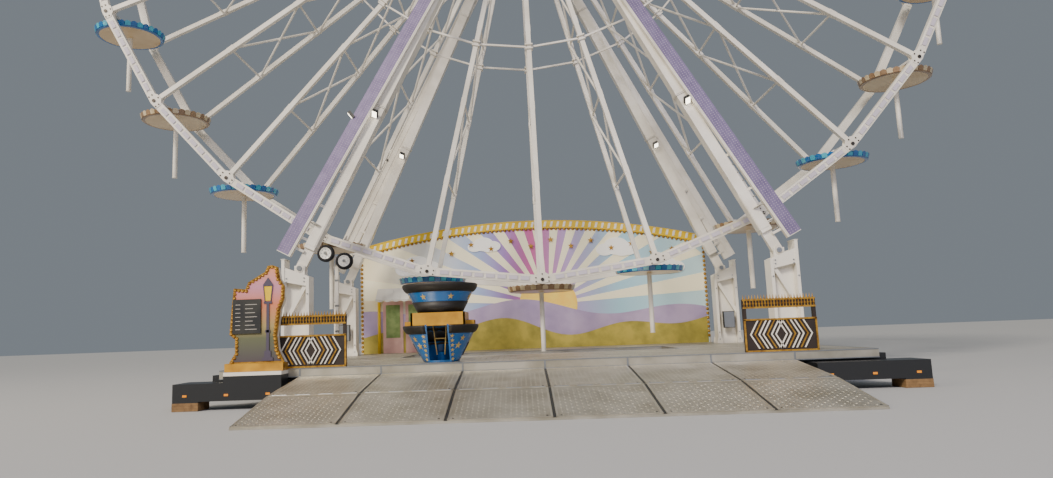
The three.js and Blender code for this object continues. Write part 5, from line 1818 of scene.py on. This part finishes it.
# %% Tyres and wheels
TYRE_PROFILE = [(0.18, -0.074), (0.21, -0.084), (0.24, -0.078), (0.262, -0.06), (0.2645, -0.03), (0.265, 0),
                (0.2645, 0.03), (0.262, 0.06), (0.24, 0.078), (0.21, 0.084), (0.18, 0.074)]
WHEEL_PROFILE = [(0.046, -0.07), (0.1, -0.072), (0.16, -0.06), (0.17, -0.078), (0.182, -0.08), (0.182, 0.08),
                 (0.17, 0.078), (0.16, 0.06), (0.1, 0.072), (0.046, 0.07)]
WHEEL_BOLT = {"radius": 0.012, "height": 0.02}
WHEEL_BOLTS = 8
WHEEL_BOLT_PLACE = (0.13, 0.06)
TREAD_BLOCKS = 40
TREAD_PLACE = (0.2655, 0.035)
TREAD_HALF = (0.0025, 0.028, 0.014)
for number in (1, 2):
    body = f"drive_tyre_{number}"
    axle = joints[f"{body}_spin"]
    centre = Vector((axle.x, -RIM_HALF_GAP, axle.z))
    tyre, wheel, bolts, treads = forms(4)
    tyre.turned(TYRE_PROFILE, centre, 64, axis=ALONG_Y)
    wheel.turned(WHEEL_PROFILE, centre, 48, axis=ALONG_Y)
    for turn in turns(WHEEL_BOLTS):
        for side in SIDES:
            spot = centre + along_rim(turn) * WHEEL_BOLT_PLACE[0] + ALONG_Y * side * WHEEL_BOLT_PLACE[1]
            bolts.bolt(spot, ALONG_Y * side, **WHEEL_BOLT)
    for turn in turns(TREAD_BLOCKS):
        spoke = along_rim(turn)
        for side in SIDES:
            treads.box(centre + spoke * TREAD_PLACE[0] + ALONG_Y * side * TREAD_PLACE[1],
                       spoke * TREAD_HALF[0], ALONG_Y * TREAD_HALF[1], ALONG_Y.cross(spoke) * TREAD_HALF[2])
    rubber = make(f"{body}_rubber", tyre, tyre_rubber, body, "tyre_rubber", smooth=True)
    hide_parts(body)
    make(f"{body}_wheel", wheel, white_enamel, body, "cream_paint", smooth=True)
    make(f"{body}_bolts", bolts, zinc_bolts, body, "cream_paint")
    make(f"{body}_tread", treads, tyre_rubber, body, "tyre_rubber")
print("drive at radius", round((axle - HUB).length, 3), "m")

# %% [markdown]
# ### The drive's post
# A slim post behind the rim carries both wheels. Four ribs stiffen its foot, four nuts hold it to
# the deck, three square clips go round it, and a nut closes each wheel's axle.

# %% Ribs, nuts and clips of the drive's post
POST_PLACE = (joints["drive_tyre_1_spin"].x + joints["drive_tyre_2_spin"].x) / 2
DRIVE_FOOT = Vector((POST_PLACE, -1.22, 0.94))
POST_RIB = [(0, 0), (0.13, 0), (0, 0.24)]
POST_RIB_THICKNESS = 0.012
POST_NUT = {"radius": 0.018, "height": 0.03}
POST_NUT_PLACE = 0.16
CLIP_HALF = Vector((0.056, 0.056, 0.03))
CLIP_HEIGHTS = (1.8, 2.6, 3.4)
AXLE_NUT = {"radius": 0.042, "height": 0.02}
AXLE_NUT_FACE = -1.53
drive_post, drive_nuts = forms(2)
for way in (-ALONG_X, ALONG_X, -ALONG_Y, ALONG_Y):
    corner = DRIVE_FOOT + way * 0.05 - way.cross(UP) * POST_RIB_THICKNESS / 2
    drive_post.plate(POST_RIB, corner, way, UP, POST_RIB_THICKNESS)
for a in SIDES:
    for b in SIDES:
        drive_nuts.bolt(DRIVE_FOOT + Vector((a * POST_NUT_PLACE, b * POST_NUT_PLACE, 0)), UP, **POST_NUT)
for z in CLIP_HEIGHTS:
    clip = Vector((DRIVE_FOOT.x, DRIVE_FOOT.y, z))
    drive_nuts.block(clip - CLIP_HALF, clip + CLIP_HALF)
for number in (1, 2):
    axle = joints[f"drive_tyre_{number}_spin"]
    drive_nuts.bolt(Vector((axle.x, AXLE_NUT_FACE, axle.z)), -ALONG_Y, **AXLE_NUT)
make("drive_post_ribs", drive_post, cream_enamel, "base", "cream_paint")
make("drive_nuts_and_clips", drive_nuts, zinc_bolts, "base", "cream_paint")
print(len(CLIP_HEIGHTS), "clips on the drive's post")

# %% [markdown]
# ## Finishes on the packed solids
# The packed solids keep their shape and take the same finishes as their dressing. The base needs
# two paints on one solid: a black chassis below the deck and cream towers above, told apart by
# their height.

# %% Paint the packed solids
PAINT_LINE = 0.795
base_paint = finish("chassis_black_and_tower_cream", CREAM, 0.42, coat=0.15)
height = add_node(base_paint, "ShaderNodeSeparateXYZ", {}, {"Vector": metres(base_paint)})
above = add_node(base_paint, "ShaderNodeMath", {"operation": "GREATER_THAN", 1: PAINT_LINE},
                 {0: height.outputs["Z"]})
two_paints = add_node(base_paint, "ShaderNodeMix",
                      {"data_type": "RGBA", 6: linear(CHASSIS_BLACK), 7: linear(CREAM)},
                      {"Factor": above.outputs[0]})
base_paint.node_tree.links.new(two_paints.outputs[2], shader_of(base_paint).inputs["Base Color"])

node_paints = {"base_frame": base_paint, "deck": rolled_aluminium, "ramp": rolled_aluminium,
               "fence_left": dark_brown_paint, "fence_right": dark_brown_paint, "backdrop": primed_plywood,
               "sign_board": gold_paint, "tub_stack": gel["blue"]}


def solid_finish(name):
    if name.startswith("cabin_"):
        return gel["blue" if int(name[-2:]) % 2 else "tan"]
    if name.startswith("drive_tyre"):
        return tyre_rubber
    return node_paints.get(name, cream_enamel)


for name, node in frame["nodes"].items():
    node.data.materials.clear()
    node.data.materials.append(solid_finish(name))
print(len(frame["nodes"]), "packed solids painted")

# %% [markdown]
# ## Camera
# The camera stands where the photographer stood: at eye height, a little left of the middle, tilted
# up a little. Its place, its turns and its focal length, which is counted in the photograph's
# pixels, were fitted to the spokes, the rims, the legs and the roofs.

# %% Camera
EYE = (-0.576, -23.264, 1.65)
YAW, PITCH, ROLL = (math.radians(angle) for angle in (-1.5835, 7.437, -2.054))
FOCAL_PIXELS = 700
PHOTO_WIDTH_PIXELS = 1053
camera = bpy.data.objects.new("camera", bpy.data.cameras.new("camera"))
bpy.context.scene.collection.objects.link(camera)
level_right = Vector((math.cos(YAW), -math.sin(YAW), 0))
level_ahead = Vector((math.sin(YAW), math.cos(YAW), 0))
ahead = level_ahead * math.cos(PITCH) + UP * math.sin(PITCH)
level_top = UP * math.cos(PITCH) - level_ahead * math.sin(PITCH)
right = level_right * math.cos(ROLL) + level_top * math.sin(ROLL)
top = level_top * math.cos(ROLL) - level_right * math.sin(ROLL)
camera.matrix_world = Matrix.Translation(EYE) @ Matrix((right, top, -ahead)).transposed().to_4x4()
camera.data.sensor_width = 36
camera.data.lens = camera.data.sensor_width * FOCAL_PIXELS / PHOTO_WIDTH_PIXELS
camera.data.shift_x = 0.028
camera.data.clip_end = 400
bpy.context.scene.camera = camera
print("lens", round(camera.data.lens, 1), "mm")

# %% [markdown]
# ## Floor and light
# A pale floor and a grey sky keep the cream steel readable. A wide soft sun comes from the
# front left, high up. Two large area lamps, one before the ride and one at its left, open the shade
# under the deck and on the legs.

# %% Floor and soft light
FLOOR_HALF = 120.0
FLOOR_HEIGHT = -0.002
floor_mesh = bpy.data.meshes.new("floor")
floor_mesh.from_pydata([(a * FLOOR_HALF, b * FLOOR_HALF, FLOOR_HEIGHT)
                        for a, b in ((-1, -1), (1, -1), (1, 1), (-1, 1))], [], [(0, 1, 2, 3)])
floor_mesh.materials.append(finish("pale_studio_floor", "#B9BABB", 0.8))
floor = bpy.data.objects.new("floor", floor_mesh)
bpy.context.scene.collection.objects.link(floor)
floor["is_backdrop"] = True

world = bpy.data.worlds.new("studio")
world.use_nodes = True
sky_sockets = world.node_tree.nodes["Background"].inputs
sky_sockets["Color"].default_value = linear("#8F979F")
sky_sockets["Strength"].default_value = 0.7
bpy.context.scene.world = world


def light(name, kind, energy, place, aim, hex_colour, **settings):
    data = bpy.data.lights.new(name, kind)
    data.energy = energy
    data.color = linear(hex_colour)[:3]
    for key, value in settings.items():
        setattr(data, key, value)
    lamp = bpy.data.objects.new(name, data)
    lamp.location = place
    lamp.rotation_euler = (Vector(aim) - Vector(place)).to_track_quat("-Z", "Y").to_euler()
    bpy.context.scene.collection.objects.link(lamp)


light("key", "SUN", 3.2, (-18, -30, 34), (0, 0, 8), "#FFF4E4", angle=math.radians(14))
light("front_fill", "AREA", 5200, (12, -40, 22), (0, 0, 7), "#F1ECFF", size=16)
light("left_fill", "AREA", 3800, (-34, -18, 18), (-4, 0, 4), "#FFEFD8", size=12)
print(len(bpy.data.lights), "lights")

# %% [markdown]
# ## The size of the dressed ride
# The size of the dressed ride, the packed solids and the dressing together, is printed with the
# number of triangles in the dressing.

# %% Print the size and finish
low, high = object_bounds()
print("dressed span", [round(v, 2) for v in high - low], "with", sum(made.values()), "triangles of dressing")
